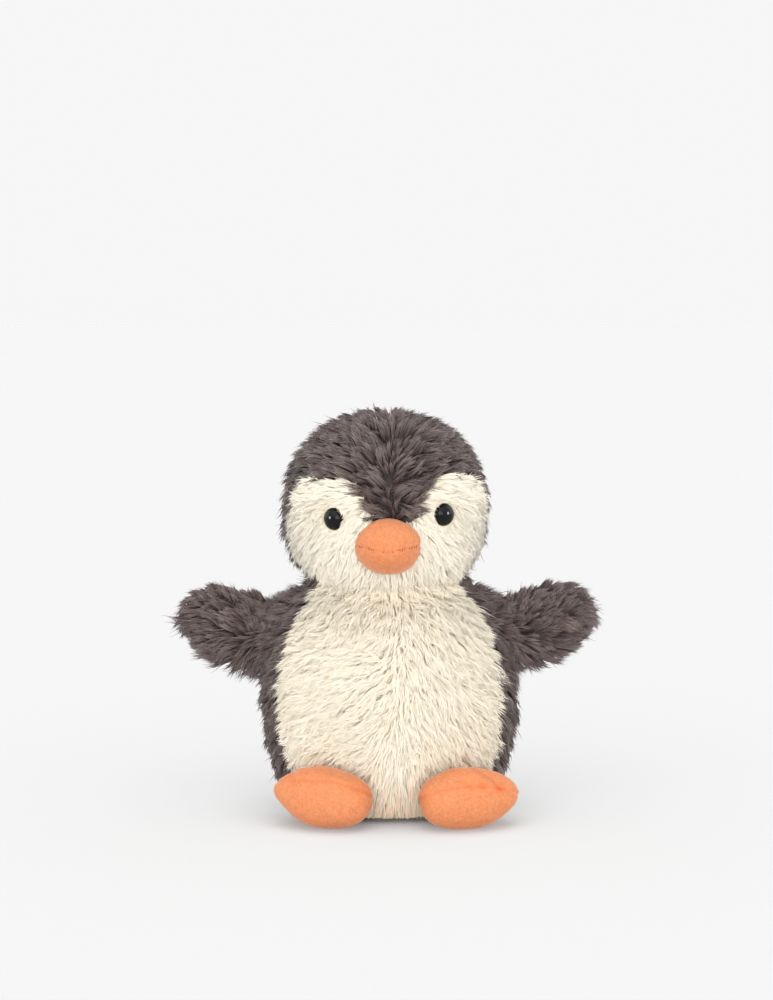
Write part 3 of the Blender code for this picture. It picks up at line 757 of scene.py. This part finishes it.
def make_head():
    surface = oval_surface(HEAD, HEAD_LOW[2], HEAD_HIGH[2] - 0.02 * MM, rows=60, lump=0.7 * MM, seed=7)
    panels = ["face_panel_left", "face_panel_right", "crown_panel_left", "crown_panel_right"]
    cover(backing(surface), "head_cover", "head", panels, [GREY_KNIT, CREAM_KNIT],
          lambda p: in_face(p))
    crown = Coat(5.8 * MM, 6.8 * MM, dense=1.5, per_lock=30, per_wisp=6, sway=15.0)
    face = Coat(4.8 * MM, 6.2 * MM, dense=2.8, thick=0.22 * MM, per_lock=28, per_wisp=6, pinch=0.23,
                stray=1.2 * MM, sway=15.0, flatten=0.93)

    def fuller_right(points):
        x, z = points[:, 0], points[:, 2]
        chin = smooth(z, 140.0 * MM, 126.0 * MM) * smooth(np.abs(x), 40.0 * MM, 24.0 * MM)
        chin *= 0.85 + 0.5 * ripple(points, 7.0 * MM, 41)
        flat_left = 0.22 * smooth(x / HEAD.half_x, 0.5, 1.0) + 0.3 * smooth(z, 150.0 * MM, 130.0 * MM) * (
            np.abs(x) > 36.0 * MM)
        return 1.0 - 0.08 * x / HEAD.half_x - flat_left + chin - 0.2 * smooth(z, 198.0 * MM, 209.0 * MM)

    def short_by_eyes(points):
        scale = fuller_right(points)
        for centre, _, _, _ in EYES.values():
            scale = np.minimum(scale, 0.3 + 0.7 * smooth(np.linalg.norm(points - centre, axis=1), 6 * MM, 15 * MM))
        return scale

    fur("fur_crown", surface, lambda p, n, r: ~in_face(p) & ~under_beak(p), comb_crown, crown, GREY_FUR, "head", 31,
        fuller_right)
    fur("fur_face", surface, lambda p, n, r: in_face(p) & ~near_eye(p, 0.0) & ~under_beak(p), comb_face,
        face, FACE_FUR, "head", 33, short_by_eyes)


# Eyes


def eye_frame(side):
    """Centre of an eye on the face and the way it looks, from its washer's flat ring."""
    washer = np.array([v.co for v in frame["nodes"][f"eye_washer_{side}"].data.vertices])
    middle = (washer.min(axis=0) + washer.max(axis=0)) / 2.0
    out = np.linalg.svd(washer - middle)[2][2]
    out *= -1.0 if out[1] > 0.0 else 1.0
    return middle + out * EYE_BEFORE_WASHER, out


def make_eye(side):
    """Glossy dome with a rounded rim on a ribbed shank."""
    centre, out, _, _ = EYES[side]
    radius, bulge = 6.0 * MM, 4.4 * MM
    profile = [(0.9, -8.6), (1.6, -8.2), (1.75, -7.4)]
    for ridge in range(4):
        profile += [(1.75, -6.8 + ridge * 1.4), (1.45, -6.5 + ridge * 1.4), (1.45, -6.1 + ridge * 1.4)]
    profile = [(r * MM, z * MM) for r, z in profile] + [(1.75 * MM, 0.0), (radius - 0.5 * MM, 0.0)]
    for angle in np.linspace(-math.pi / 2.2, 0.0, 5):
        profile.append((radius - 0.35 * MM + 0.35 * MM * math.cos(angle), 0.4 * MM + 0.35 * MM * math.sin(angle)))
    for angle in np.linspace(0.12, math.pi / 2.0 - 0.02, 16):
        profile.append((radius * math.cos(angle), 0.4 * MM + (bulge - 0.4 * MM) * math.sin(angle)))
    turns = np.linspace(0.0, 2.0 * math.pi, 49)
    across = unit(np.cross(out, (0.0, 0.0, 1.0)))
    above = np.cross(across, out)
    rings = []
    for r, z in profile:
        rings.append(centre + out * z + r * (across * np.cos(turns)[:, None] + above * np.sin(turns)[:, None]))
    made = closed_form(f"safety_eye_{side}", np.array(rings))
    made.data.materials.append(EYE_GLOSS)
    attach(made, "head")
    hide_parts(f"eye_{side}")


# Suede: beak and feet


# Stores per point how strongly painted shade darkens the suede.
def set_painted_crease_shade(piece, values):
    attribute = piece.data.attributes.new("Crease", "FLOAT", "POINT")
    attribute.data.foreach_set("value", np.clip(values, 0.0, 1.0).astype(np.float32))


def mesh_points(piece):
    points = np.empty(len(piece.data.vertices) * 3)
    piece.data.vertices.foreach_get("co", points)
    return points.reshape(-1, 3)


def mesh_normals(piece):
    normals = np.empty(len(piece.data.vertices) * 3)
    piece.data.vertices.foreach_get("normal", normals)
    return normals.reshape(-1, 3)


def set_points(piece, points):
    piece.data.vertices.foreach_set("co", points.astype(np.float32).ravel())
    piece.data.update()


def apply_modifiers(piece):
    graph = bpy.context.evaluated_depsgraph_get()
    mesh = bpy.data.meshes.new_from_object(piece.evaluated_get(graph))
    piece.modifiers.clear()
    old = piece.data
    piece.data = mesh
    bpy.data.meshes.remove(old)
    piece.data.name = piece.name
    piece.data.shade_smooth()


def inflate(piece, voxel, pressure, cap, frames=20):
    """Fills a closed fabric form by cloth simulation, no point moving further than cap."""
    remesh = piece.modifiers.new("remesh", "REMESH")
    remesh.mode = "VOXEL"
    remesh.voxel_size = voxel
    apply_modifiers(piece)
    before = mesh_points(piece)
    cloth = piece.modifiers.new("cloth", "CLOTH")
    cloth.settings.quality = 6
    cloth.settings.mass = 0.2
    cloth.settings.use_pressure = True
    cloth.settings.uniform_pressure_force = pressure
    cloth.settings.tension_stiffness = 25.0
    cloth.settings.compression_stiffness = 12.0
    cloth.settings.bending_stiffness = 0.4
    cloth.settings.shrink_min = -0.04
    cloth.settings.effector_weights.gravity = 0.0
    scene = bpy.context.scene
    scene.frame_start, scene.frame_end = 1, frames
    for number in range(1, frames + 1):
        scene.frame_set(number)
    apply_modifiers(piece)
    scene.frame_set(1)
    after = mesh_points(piece)
    move = after - before
    far = np.linalg.norm(move, axis=1, keepdims=True)
    set_points(piece, before + move * np.minimum(1.0, cap / np.maximum(far, 1e-9)))
    subdivision = piece.modifiers.new("subdivision", "SUBSURF")
    subdivision.levels = 1
    subdivision.render_levels = 1
    apply_modifiers(piece)


def foot_frame(side):
    """Middle of a foot, the directions along it and forward, and its half sizes."""
    names = [f"foot_upper_{side}", f"foot_sole_{side}"]
    node = np.concatenate([np.array([v.co for v in frame["nodes"][n].data.vertices]) for n in names])
    sign = SIDES[side]
    along = np.array([sign * math.cos(FOOT_SPLAY), math.sin(FOOT_SPLAY), 0.0])
    forward = np.array([sign * math.sin(FOOT_SPLAY), -math.cos(FOOT_SPLAY), 0.0])
    u, v = node @ along, node @ forward
    middle = along * (u.min() + u.max()) / 2.0 + forward * (v.min() + v.max()) / 2.0
    middle = middle + np.array([0.0, 0.0, FOOT_MIDDLE])
    height = 0.95 * (node[:, 2].max() - FOOT_MIDDLE - 0.3 * FOOT_TIP_RISE[side])
    return middle, along, forward, np.ptp(u) / 2.0, np.ptp(v) / 2.0, height


FOOT_SEAM_RISE = {"left": (1.5 * MM, -2.5 * MM), "right": (3.5 * MM, 2.0 * MM)}  # at the inner and outer end
# Place along the foot, how it leans, width and strength of the fold over each foot.
FOOT_FOLD = {"left": (0.42, -0.035, 2.4 * MM, 1.0), "right": (0.46, 0.01, 2.0 * MM, 0.6)}


def make_foot(side):
    middle, along, forward, half_length, half_depth, half_height = foot_frame(side)
    rows, columns = 30, 36
    grid = np.empty((rows, columns + 1, 3))
    turns = np.linspace(0.0, 2.0 * math.pi, columns + 1)
    for i, a in enumerate(np.linspace(0.06, math.pi - 0.06, rows)):
        share = -math.cos(a)
        outward = (1.0 + share) / 2.0
        r = fullness(share, FOOT_TIP_FULLNESS[side] if share > 0.0 else FOOT_FULLNESS)
        ring = middle + along * half_length * share + forward * (half_depth * r * np.cos(turns))[:, None]
        ring[:, 2] = middle[2] + FOOT_TIP_RISE[side] * outward ** 2 + half_height * r * np.sin(turns)
        grid[i] = ring
    grid[..., 2] = np.maximum(grid[..., 2], 0.2 * MM)
    piece = closed_form(f"foot_cover_{side}", grid)
    inflate(piece, 2.4 * MM, 3.0, 1.2 * MM)
    points, normals = mesh_points(piece), mesh_normals(piece)
    local = points - middle
    u, v = local @ along, local @ forward
    outward = (1.0 + u / half_length) / 2.0
    z = local[:, 2] - FOOT_TIP_RISE[side] * outward ** 2
    above = z * math.cos(FOOT_TILT) - v * math.sin(FOOT_TILT)
    # The seam between upper and sole draws the suede in and puckers it.
    inner_rise, outer_rise = FOOT_SEAM_RISE[side]
    seam_at = inner_rise + (outer_rise - inner_rise) * outward - 0.6 * MM * np.sin(u * 200.0)
    from_seam = above - seam_at
    seam = np.exp(-((from_seam / (0.9 * MM)) ** 2))
    near = np.exp(-((from_seam / (3.4 * MM)) ** 2))
    pucker = 0.5 + 0.5 * np.sin(u / (2.1 * MM) + 2.4 * np.sin(u * 150.0))
    pucker *= smooth(ripple(points, 13.0 * MM, 21), -0.2, 0.5)
    # A fold runs over the upper towards the outer end, strongest at the seam.
    place, lean, width, strength = FOOT_FOLD[side]
    fold_u = half_length * (place + lean * above / MM)
    on_upper = smooth(above, -6.0 * MM, -1.0 * MM) * smooth(above, 15.0 * MM, 9.0 * MM)
    fold = np.exp(-(((u - fold_u) / width) ** 2)) * on_upper * strength
    swell = np.exp(-(((u - fold_u + 2.4 * width) / (2.0 * width)) ** 2)) * on_upper * strength
    depth = 0.7 * MM * seam + 0.45 * MM * pucker * near + 0.9 * MM * fold - 1.3 * MM * swell
    depth += 0.3 * MM * ripple(points, 11.0 * MM, 5)
    floor = smooth(points[:, 2], 0.5 * MM, 4.0 * MM)
    points = points - normals * (depth * floor)[:, None]
    points[:, 2] = np.maximum(points[:, 2], 0.2 * MM)
    set_points(piece, points)
    # Painted shade: the seam, its puckers and the fold are coloured darker, as shade falls in them.
    set_painted_crease_shade(piece, 0.6 * seam * (0.4 + 0.6 * pucker) + 0.3 * near * pucker + 0.35 * fold)
    piece.data.materials.append(SUEDE)
    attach(piece, f"foot_{side}")
    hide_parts(f"foot_upper_{side}", f"foot_sole_{side}")
    return piece


def head_front(x, z):
    """Y of the front of the head at x and z."""
    r = HEAD.radius(z)
    return AXIS_Y - HEAD.half_y * np.sqrt(np.maximum(0.0, r * r - (x / HEAD.half_x) ** 2))


def make_beak():
    centre = (BEAK_LOW + BEAK_HIGH) / 2.0
    half_x = (BEAK_HIGH[0] - BEAK_LOW[0]) / 2.0
    half_z = (BEAK_HIGH[2] - BEAK_LOW[2]) / 2.0
    reach = head_front(0.0, centre[2]) - BEAK_LOW[1] - 0.6 * MM
    rows, columns = 26, 48
    grid = []
    back = np.linspace(0.15, 1.0, 6)
    turns = np.linspace(0.0, 2.0 * math.pi, columns + 1)
    for share in back:
        x = centre[0] + half_x * share * np.cos(turns) * 0.97
        z = centre[2] + half_z * share * np.sin(turns) * 0.97
        grid.append(np.stack([x, head_front(x, z) - 0.6 * MM, z], axis=-1))
    for a in np.linspace(0.06, math.pi / 2.0 - 0.05, rows):
        wide = math.cos(a) ** 0.9
        x = centre[0] + half_x * wide * np.cos(turns)
        z = centre[2] + half_z * wide * np.sin(turns)
        grid.append(np.stack([x, head_front(x, z) - 0.6 * MM - reach * math.sin(a), z], axis=-1))
    piece = closed_form("beak_cover", np.array(grid))
    inflate(piece, 1.5 * MM, 3.0, 1.0 * MM)
    points, normals = mesh_points(piece), mesh_normals(piece)
    x, z = points[:, 0] - centre[0], points[:, 2] - centre[2]
    seam_z = beak_seam(x, half_x)
    seam = np.exp(-(((z - seam_z) / (0.42 * MM)) ** 2))
    near = np.exp(-(((z - seam_z) / (2.4 * MM)) ** 2))
    pucker = 0.5 + 0.5 * np.sin(x / (0.42 * MM))
    tuck = np.exp(-((x / (1.4 * MM)) ** 2) - ((z + half_z * 0.86) / (2.4 * MM)) ** 2)
    depth = 0.4 * MM * seam + 0.14 * MM * near * pucker + 0.8 * MM * tuck + 0.22 * MM * ripple(points, 9.0 * MM, 8)
    front = smooth(head_front(points[:, 0], points[:, 2]) - points[:, 1], 1.5 * MM, 4.0 * MM)
    set_points(piece, points - normals * (depth * front)[:, None])
    # Painted shade: the seam and the tuck under the tip are coloured darker.
    set_painted_crease_shade(piece, (0.3 * seam + 0.5 * tuck) * front)
    piece.data.materials.append(SUEDE)
    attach(piece, "head")
    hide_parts("beak_upper", "beak_lower")
    make_beak_stitches(piece, centre, half_x)


def beak_seam(x, half_x):
    """Height of the beak's seam above its middle, which dips at the tip."""
    return 1.0 * MM - 1.6 * MM * np.exp(-((x / (0.42 * half_x)) ** 2))


def surface_hit(piece, origin, direction):
    found, place, normal, _ = piece.ray_cast(Vector(origin), Vector(direction))
    return (np.array(place), np.array(normal)) if found else (None, None)


def make_beak_stitches(beak, centre, half_x):
    """Short stitches of dark thread across the beak's seam, sewn through the suede."""
    bpy.context.view_layer.update()
    rng = np.random.default_rng(5)
    pieces = []
    for x in np.linspace(-0.88 * half_x, 0.88 * half_x, 25):
        slant, reach, shown = rng.normal(0.0, 0.4), rng.uniform(0.45, 1.05), rng.random()
        if shown < 0.3 or abs(x) < 0.1 * half_x:
            continue
        z = centre[2] + beak_seam(x, half_x)
        line = []
        for share in np.linspace(-1.0, 1.0, 5):
            up = share * reach * MM
            origin = (centre[0] + x + slant * up, BEAK_LOW[1] - 0.02, z + up)
            place, normal = surface_hit(beak, origin, (0.0, 1.0, 0.0))
            if place is None:
                break
            sink = 0.1 * MM - 0.25 * MM * share * share
            line.append(place + normal * sink)
        if len(line) == 5:
            pieces.append(tube(f"stitch_{len(pieces)}", line, 0.17 * MM, 6))
    made = join(pieces, "beak_stitches")
    made.data.materials.append(THREAD)
    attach(made, "head")
    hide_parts("beak_seam_thread")


def join(pieces, name):
    """One object of several meshes."""
    work = bmesh.new()
    for piece in pieces:
        work.from_mesh(piece.data)
    data = bpy.data.meshes.new(name)
    work.to_mesh(data)
    work.free()
    data.shade_smooth()
    for piece in pieces:
        old = piece.data
        bpy.data.objects.remove(piece, do_unlink=True)
        bpy.data.meshes.remove(old)
    made = bpy.data.objects.new(name, data)
    bpy.context.scene.collection.objects.link(made)
    return made


# Wings


def wing_surface(side):
    """Grid of a wing's fabric, from the shoulder to the rounded tip."""
    names = [f"wing_front_panel_{side}", f"wing_back_panel_{side}"]
    node = np.concatenate([np.array([v.co for v in frame["nodes"][n].data.vertices]) for n in names])
    shoulder = pivot(f"wing_flap_{side}")
    sign = SIDES[side]
    far = node[np.argmax(node[:, 0] * sign)]
    middle = node.mean(axis=0)
    along = unit(np.array([middle[0] - shoulder[0], 0.0, middle[2] - shoulder[2]]))
    above = np.array([-along[2] * sign, 0.0, along[0] * sign])
    u = (node - shoulder) @ along
    v = (node - shoulder) @ above
    length = u.max()
    half_width = (v.max() - v.min()) / 2.0
    half_thick = (node[:, 1].max() - node[:, 1].min()) / 2.0
    rows, columns = 44, 64
    start = math.acos(1.0 - 3.0 * MM / (length / 2.0))
    turns = np.linspace(0.0, 2.0 * math.pi, columns + 1) * -sign
    grid = []
    for a in np.linspace(start, math.pi - 0.05, rows):
        share = -math.cos(a)
        r = fullness(share, WING_FULLNESS)
        place = shoulder + along * (length / 2.0 * (1.0 + share))
        ring = place + above * (half_width * r * np.cos(turns))[:, None]
        grid.append(ring - np.array([0.0, 1.0, 0.0]) * (half_thick * r * np.sin(turns))[:, None])
    return Surface(np.array(grid), 0.5 * MM, 9), shoulder, along, above, length


def make_wing(side):
    surface, shoulder, along, above, length = wing_surface(side)
    cover(backing(surface), f"wing_cover_{side}", f"wing_{side}",
          [f"wing_front_panel_{side}", f"wing_back_panel_{side}"], [GREY_KNIT])
    origin = shoulder + along * 9.0 * MM - above * 3.0 * MM

    def comb(points, normals):
        out = points - origin
        out[:, 1] = 0.0
        reach = np.linalg.norm(out, axis=1, keepdims=True)
        at_tip = smooth((points - shoulder) @ along, 0.7 * length, length)[:, None]
        return out / np.maximum(reach, 1 * MM) + along * 0.35 - np.array([0.0, 0.0, 1.0]) * (0.1 + 0.5 * at_tip)

    def wing_pile(points):
        u, v = (points - shoulder) @ along, (points - shoulder) @ above
        saddle = 0.35 * smooth(v, 0.0, 11.0 * MM) * smooth(u, 30.0 * MM, 12.0 * MM)
        saddle = saddle + 0.35 * smooth(v, 0.0, 11.0 * MM) * smooth(u, 14.0 * MM, 24.0 * MM) * smooth(
            u, 48.0 * MM, 40.0 * MM)
        tip = 0.5 * smooth(-v, 2.0 * MM, 11.0 * MM) * smooth(u, 26.0 * MM, 42.0 * MM)
        tip = tip + 0.07 * smooth(u, 36.0 * MM, 46.0 * MM)
        armpit = (0.35 if side == "right" else 0.0) * smooth(-v, 2.0 * MM, 10.0 * MM) * smooth(u, 36.0 * MM, 20.0 * MM)
        return 1.0 - saddle - tip + armpit

    coat = Coat(5.1 * MM, 8.5 * MM, dense=2.3, per_lock=46, per_wisp=8, sway=14.0)
    fur(f"fur_wing_{side}", surface, lambda p, n, r: np.ones(len(p), bool), comb, coat, GREY_FUR,
        f"wing_{side}", 51 if side == "left" else 52, wing_pile)


def make_shoulder(side):
    """Gathered gusset from the side seam to the wing."""
    shoulder = pivot(f"wing_flap_{side}")
    sign = SIDES[side]
    columns = 40
    turns = np.linspace(0.0, 2.0 * math.pi, columns + 1) * -sign
    grid = []
    for share in np.linspace(0.0, 1.0, 14):
        x = shoulder[0] + sign * (-17.0 + 26.5 * share) * MM
        top = shoulder[2] + (21.5 - 7.5 * smooth(share, 0.0, 0.8)) * MM
        low = shoulder[2] - (14.0 if side == "left" else 16.0) * MM
        gather = 1.0 + 0.04 * np.sin(turns * 9.0) * (1.0 - abs(2.0 * share - 1.0))
        half_y = (12.0 - 6.0 * smooth(share, 0.0, 0.9)) * MM * gather
        ring = np.stack([np.full(columns + 1, x), shoulder[1] - half_y * np.sin(turns),
                         (top + low) / 2.0 + (top - low) / 2.0 * gather * np.cos(turns)], axis=-1)
        grid.append(ring)
    surface = Surface(np.array(grid))
    made = closed_form(f"wing_sleeve_{side}", surface.grid)
    made.data.materials.append(GREY_KNIT)
    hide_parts(f"wing_root_{side}")
    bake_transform(made)

    def comb(points, normals):
        out = points - shoulder
        return vectors(sign * 0.8, 0.0, np.clip(out[:, 2] / (15.0 * MM), -1.0, 1.0) * 0.5 - 0.3, len(points))

    coat = Coat(5.6 * MM, 8.0 * MM, dense=2.2, per_lock=36, per_wisp=7, sway=16.0)
    for piece in fur(f"fur_shoulder_{side}", surface, lambda p, n, r: ~inside_body(p), comb, coat,
                     GREY_FUR, None, 61 if side == "left" else 62):
        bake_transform(piece)


def inside_body(points):
    """Whether points lie under the body's fabric."""
    r = np.maximum(BODY.radius(points[:, 2]), 1e-6)
    share = (points[:, 0] / BODY.half_x) ** 2 + ((points[:, 1] - AXIS_Y) / BODY.half_y) ** 2
    return (share < (r * 0.98) ** 2) & (points[:, 2] < BODY_HIGH[2])


# Neck


def make_neck():
    """Soft sleeve under the neck seam, with its fur."""
    low, high = BODY_HIGH[2] - 1.5 * MM, HEAD_LOW[2] + 1.5 * MM
    columns = 96
    azimuth = np.linspace(-math.pi, math.pi, columns + 1)
    grid = []
    for share in np.linspace(0.0, 1.0, 12):
        z = low + (high - low) * share
        oval_low, oval_high = BODY.radius(BODY_HIGH[2]), HEAD.radius(HEAD_LOW[2])
        half_x = BODY.half_x * oval_low * (1 - share) + HEAD.half_x * oval_high * share
        half_y = BODY.half_y * oval_low * (1 - share) + HEAD.half_y * oval_high * share
        tuck = 1.6 * MM + 1.2 * MM * math.sin(math.pi * share) + 0.25 * MM * np.sin(azimuth * 40.0)
        x = (half_x - tuck) * np.sin(azimuth)
        y = AXIS_Y - (half_y - tuck) * np.cos(azimuth)
        grid.append(np.stack([x, y, np.full(columns + 1, z)], axis=-1))
    surface = Surface(np.array(grid))
    made = closed_form("neck_sleeve", surface.grid)
    made.data.materials.append(GREY_KNIT)
    made.data.materials.append(CREAM_KNIT)
    centres = np.array([p.center for p in made.data.polygons])
    made.data.polygons.foreach_set("material_index", in_belly(centres).astype(np.int32))
    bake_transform(made)
    coat = Coat(8.5 * MM, 6.0 * MM, dense=2.6, per_lock=40, per_wisp=8, flatten=0.5)
    for name, keep, material in (
        ("fur_neck_front", lambda p, n, r: in_belly(p), CREAM_FUR),
        ("fur_neck_back", lambda p, n, r: ~in_belly(p), GREY_FUR),
    ):
        for piece in fur(name, surface, keep, comb_down, coat, material, None, 71):
            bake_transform(piece)


# Pieces kept from the CAD


def finish_cad_nodes():
    plain = {
        "base_panel": GREY_KNIT,
        "pellet_pouch": CALICO,
        "eye_washer_left": WASHER,
        "eye_washer_right": WASHER,
    }
    for name, node in frame["nodes"].items():
        material = plain.get(name, FIBRE if "filling" in name else None)
        if material:
            node.data.materials.clear()
            node.data.materials.append(material)


# Stage, light and camera


def make_stage():
    data = bpy.data.meshes.new("floor")
    half = 60.0
    data.from_pydata([(-half, -half, 0), (half, -half, 0), (half, half, 0), (-half, half, 0)], [], [(0, 1, 2, 3)])
    floor = bpy.data.objects.new("floor", data)
    bpy.context.scene.collection.objects.link(floor)
    made, nodes, links, shader = new_material("floor", 0.9)
    shader.inputs["Base Color"].default_value = (FLOOR_LEVEL, FLOOR_LEVEL, FLOOR_LEVEL, 1.0)
    shader.inputs["Specular IOR Level"].default_value = 0.0
    data.materials.append(made)


FLOOR_LEVEL = 0.32
BACKDROP_LEVEL = 0.922
FRONT_LEVEL = 1.4
OVERHEAD_LEVEL = 1.05


def make_world():
    """Pale surround like a light tent: even near the level, brighter overhead and from the front."""
    world = bpy.data.worlds.new("studio")
    bpy.context.scene.world = world
    world.use_nodes = True
    nodes, links = world.node_tree.nodes, world.node_tree.links
    background = nodes["Background"]
    place = nodes.new("ShaderNodeTexCoord")
    split = nodes.new("ShaderNodeSeparateXYZ")
    links.new(place.outputs["Generated"], split.inputs["Vector"])

    def between(value, start, end, low, high):
        made = nodes.new("ShaderNodeMapRange")
        made.interpolation_type = "SMOOTHSTEP"
        for socket, level in zip(("From Min", "From Max"), (start, end)):
            made.inputs[socket].default_value = level
        for socket, level in zip(("To Min", "To Max"), (low, high)):
            if isinstance(level, float):
                made.inputs[socket].default_value = level
            else:
                links.new(level, made.inputs[socket])
        links.new(value, made.inputs["Value"])
        return made.outputs["Result"]

    dome = between(split.outputs["Y"], 0.35, -0.6, OVERHEAD_LEVEL, FRONT_LEVEL)
    level = between(split.outputs["Z"], 0.2, 0.42, BACKDROP_LEVEL, dome)
    links.new(level, background.inputs["Color"])
    background.inputs["Strength"].default_value = 1.0


def group(name, wanted):
    """The objects that one light shines on, or that block it."""
    made = bpy.data.collections.new(name)
    for obj in bpy.context.scene.objects:
        if obj.type == "MESH" and wanted(obj.name):
            made.objects.link(obj)
    return made


def make_sun(name, azimuth, elevation, spread, strength, lit=None, blocks=None):
    """Even soft light from a direction. Azimuth 0 is straight in front, and grows towards +X."""
    data = bpy.data.lights.new(name, "SUN")
    data.angle = math.radians(spread)
    data.energy = strength
    light = bpy.data.objects.new(name, data)
    bpy.context.scene.collection.objects.link(light)
    turn, rise = math.radians(azimuth), math.radians(elevation)
    toward = Vector((math.sin(turn) * math.cos(rise), -math.cos(turn) * math.cos(rise), math.sin(rise)))
    light.rotation_euler = toward.to_track_quat("Z", "Y").to_euler()
    if lit:
        light.light_linking.receiver_collection = lit
    if blocks:
        light.light_linking.blocker_collection = blocks


def make_catch_light(side, eyes):
    """Round softbox that only the eyes mirror, placed so that its bright point is near an eye's middle."""
    data = bpy.data.lights.new(f"catch_{side}", "AREA")
    data.shape = "DISK"
    data.size = 0.34
    data.energy = 6.0
    light = bpy.data.objects.new(f"catch_{side}", data)
    bpy.context.scene.collection.objects.link(light)
    centre, out = Vector(EYES[side][0]), Vector(EYES[side][1])
    view = (bpy.context.scene.camera.location - centre).normalized()
    toward = (2.0 * out.dot(view) * out - view + Vector((0.0, 0.0, 0.2))).normalized()
    light.location = centre + toward * 1.25
    light.rotation_euler = toward.to_track_quat("Z", "Y").to_euler()
    light.light_linking.receiver_collection = eyes
    light.light_linking.blocker_collection = eyes


def make_camera():
    data = bpy.data.cameras.new("camera")
    camera = bpy.data.objects.new("camera", data)
    bpy.context.scene.collection.objects.link(camera)
    distance, rise = 1.275, math.radians(5.0)
    frame_height = 0.54
    target = Vector((-0.8 * MM, AXIS_Y, 165.0 * MM))
    data.sensor_fit = "VERTICAL"
    data.sensor_height = 24.0
    data.lens = 12.0 * distance / (frame_height / 2.0)
    data.clip_end = 20.0
    camera.location = target + Vector((0.0, -math.cos(rise), math.sin(rise))) * distance
    camera.rotation_euler = (target - camera.location).to_track_quat("-Z", "Y").to_euler()
    bpy.context.scene.camera = camera


make_camera()
for eye_side in SIDES:
    eye_centre, eye_out = eye_frame(eye_side)
    clear_centre = eye_centre + np.array([EYE_CLEAR_SHIFT[eye_side], 0.0, 0.0])
    EYES[eye_side] = (eye_centre, eye_out, EYE_CLEAR[eye_side], clear_centre)
make_body()
make_head()
make_neck()
make_beak()
for wing_side in SIDES:
    make_eye(wing_side)
    make_wing(wing_side)
    make_shoulder(wing_side)
    make_foot(wing_side)
finish_cad_nodes()
make_stage()
make_world()
toy = group("toy", lambda name: name != "floor")
ground = group("ground", lambda name: name == "floor")
belly = group("belly", lambda name: name.startswith(("fur_belly", "fur_hem")))
low_parts = group("low_parts", lambda name: name.startswith(("foot", "fur_belly", "fur_hem")))
eyes = group("eyes", lambda name: name.startswith("safety_eye"))
make_sun("key", -22.0, 40.0, 60.0, 0.5)
make_sun("fill", 2.0, 2.0, 50.0, 1.7, toy, toy)
make_sun("table", 0.0, -30.0, 70.0, 0.4, toy, toy)
make_sun("overhead", 0.0, 90.0, 50.0, 3.5, ground, belly)
make_sun("overhead_low", 0.0, 90.0, 50.0, 1.6, ground, low_parts)
make_sun("rim_left", 115.0, 20.0, 60.0, 0.8, toy, toy)
make_sun("rim_right", -115.0, 20.0, 60.0, 0.8, toy, toy)
for light_side in SIDES:
    make_catch_light(light_side, eyes)
bpy.context.scene.cycles.diffuse_bounces = 12
bpy.context.scene.view_settings.view_transform = "Standard"
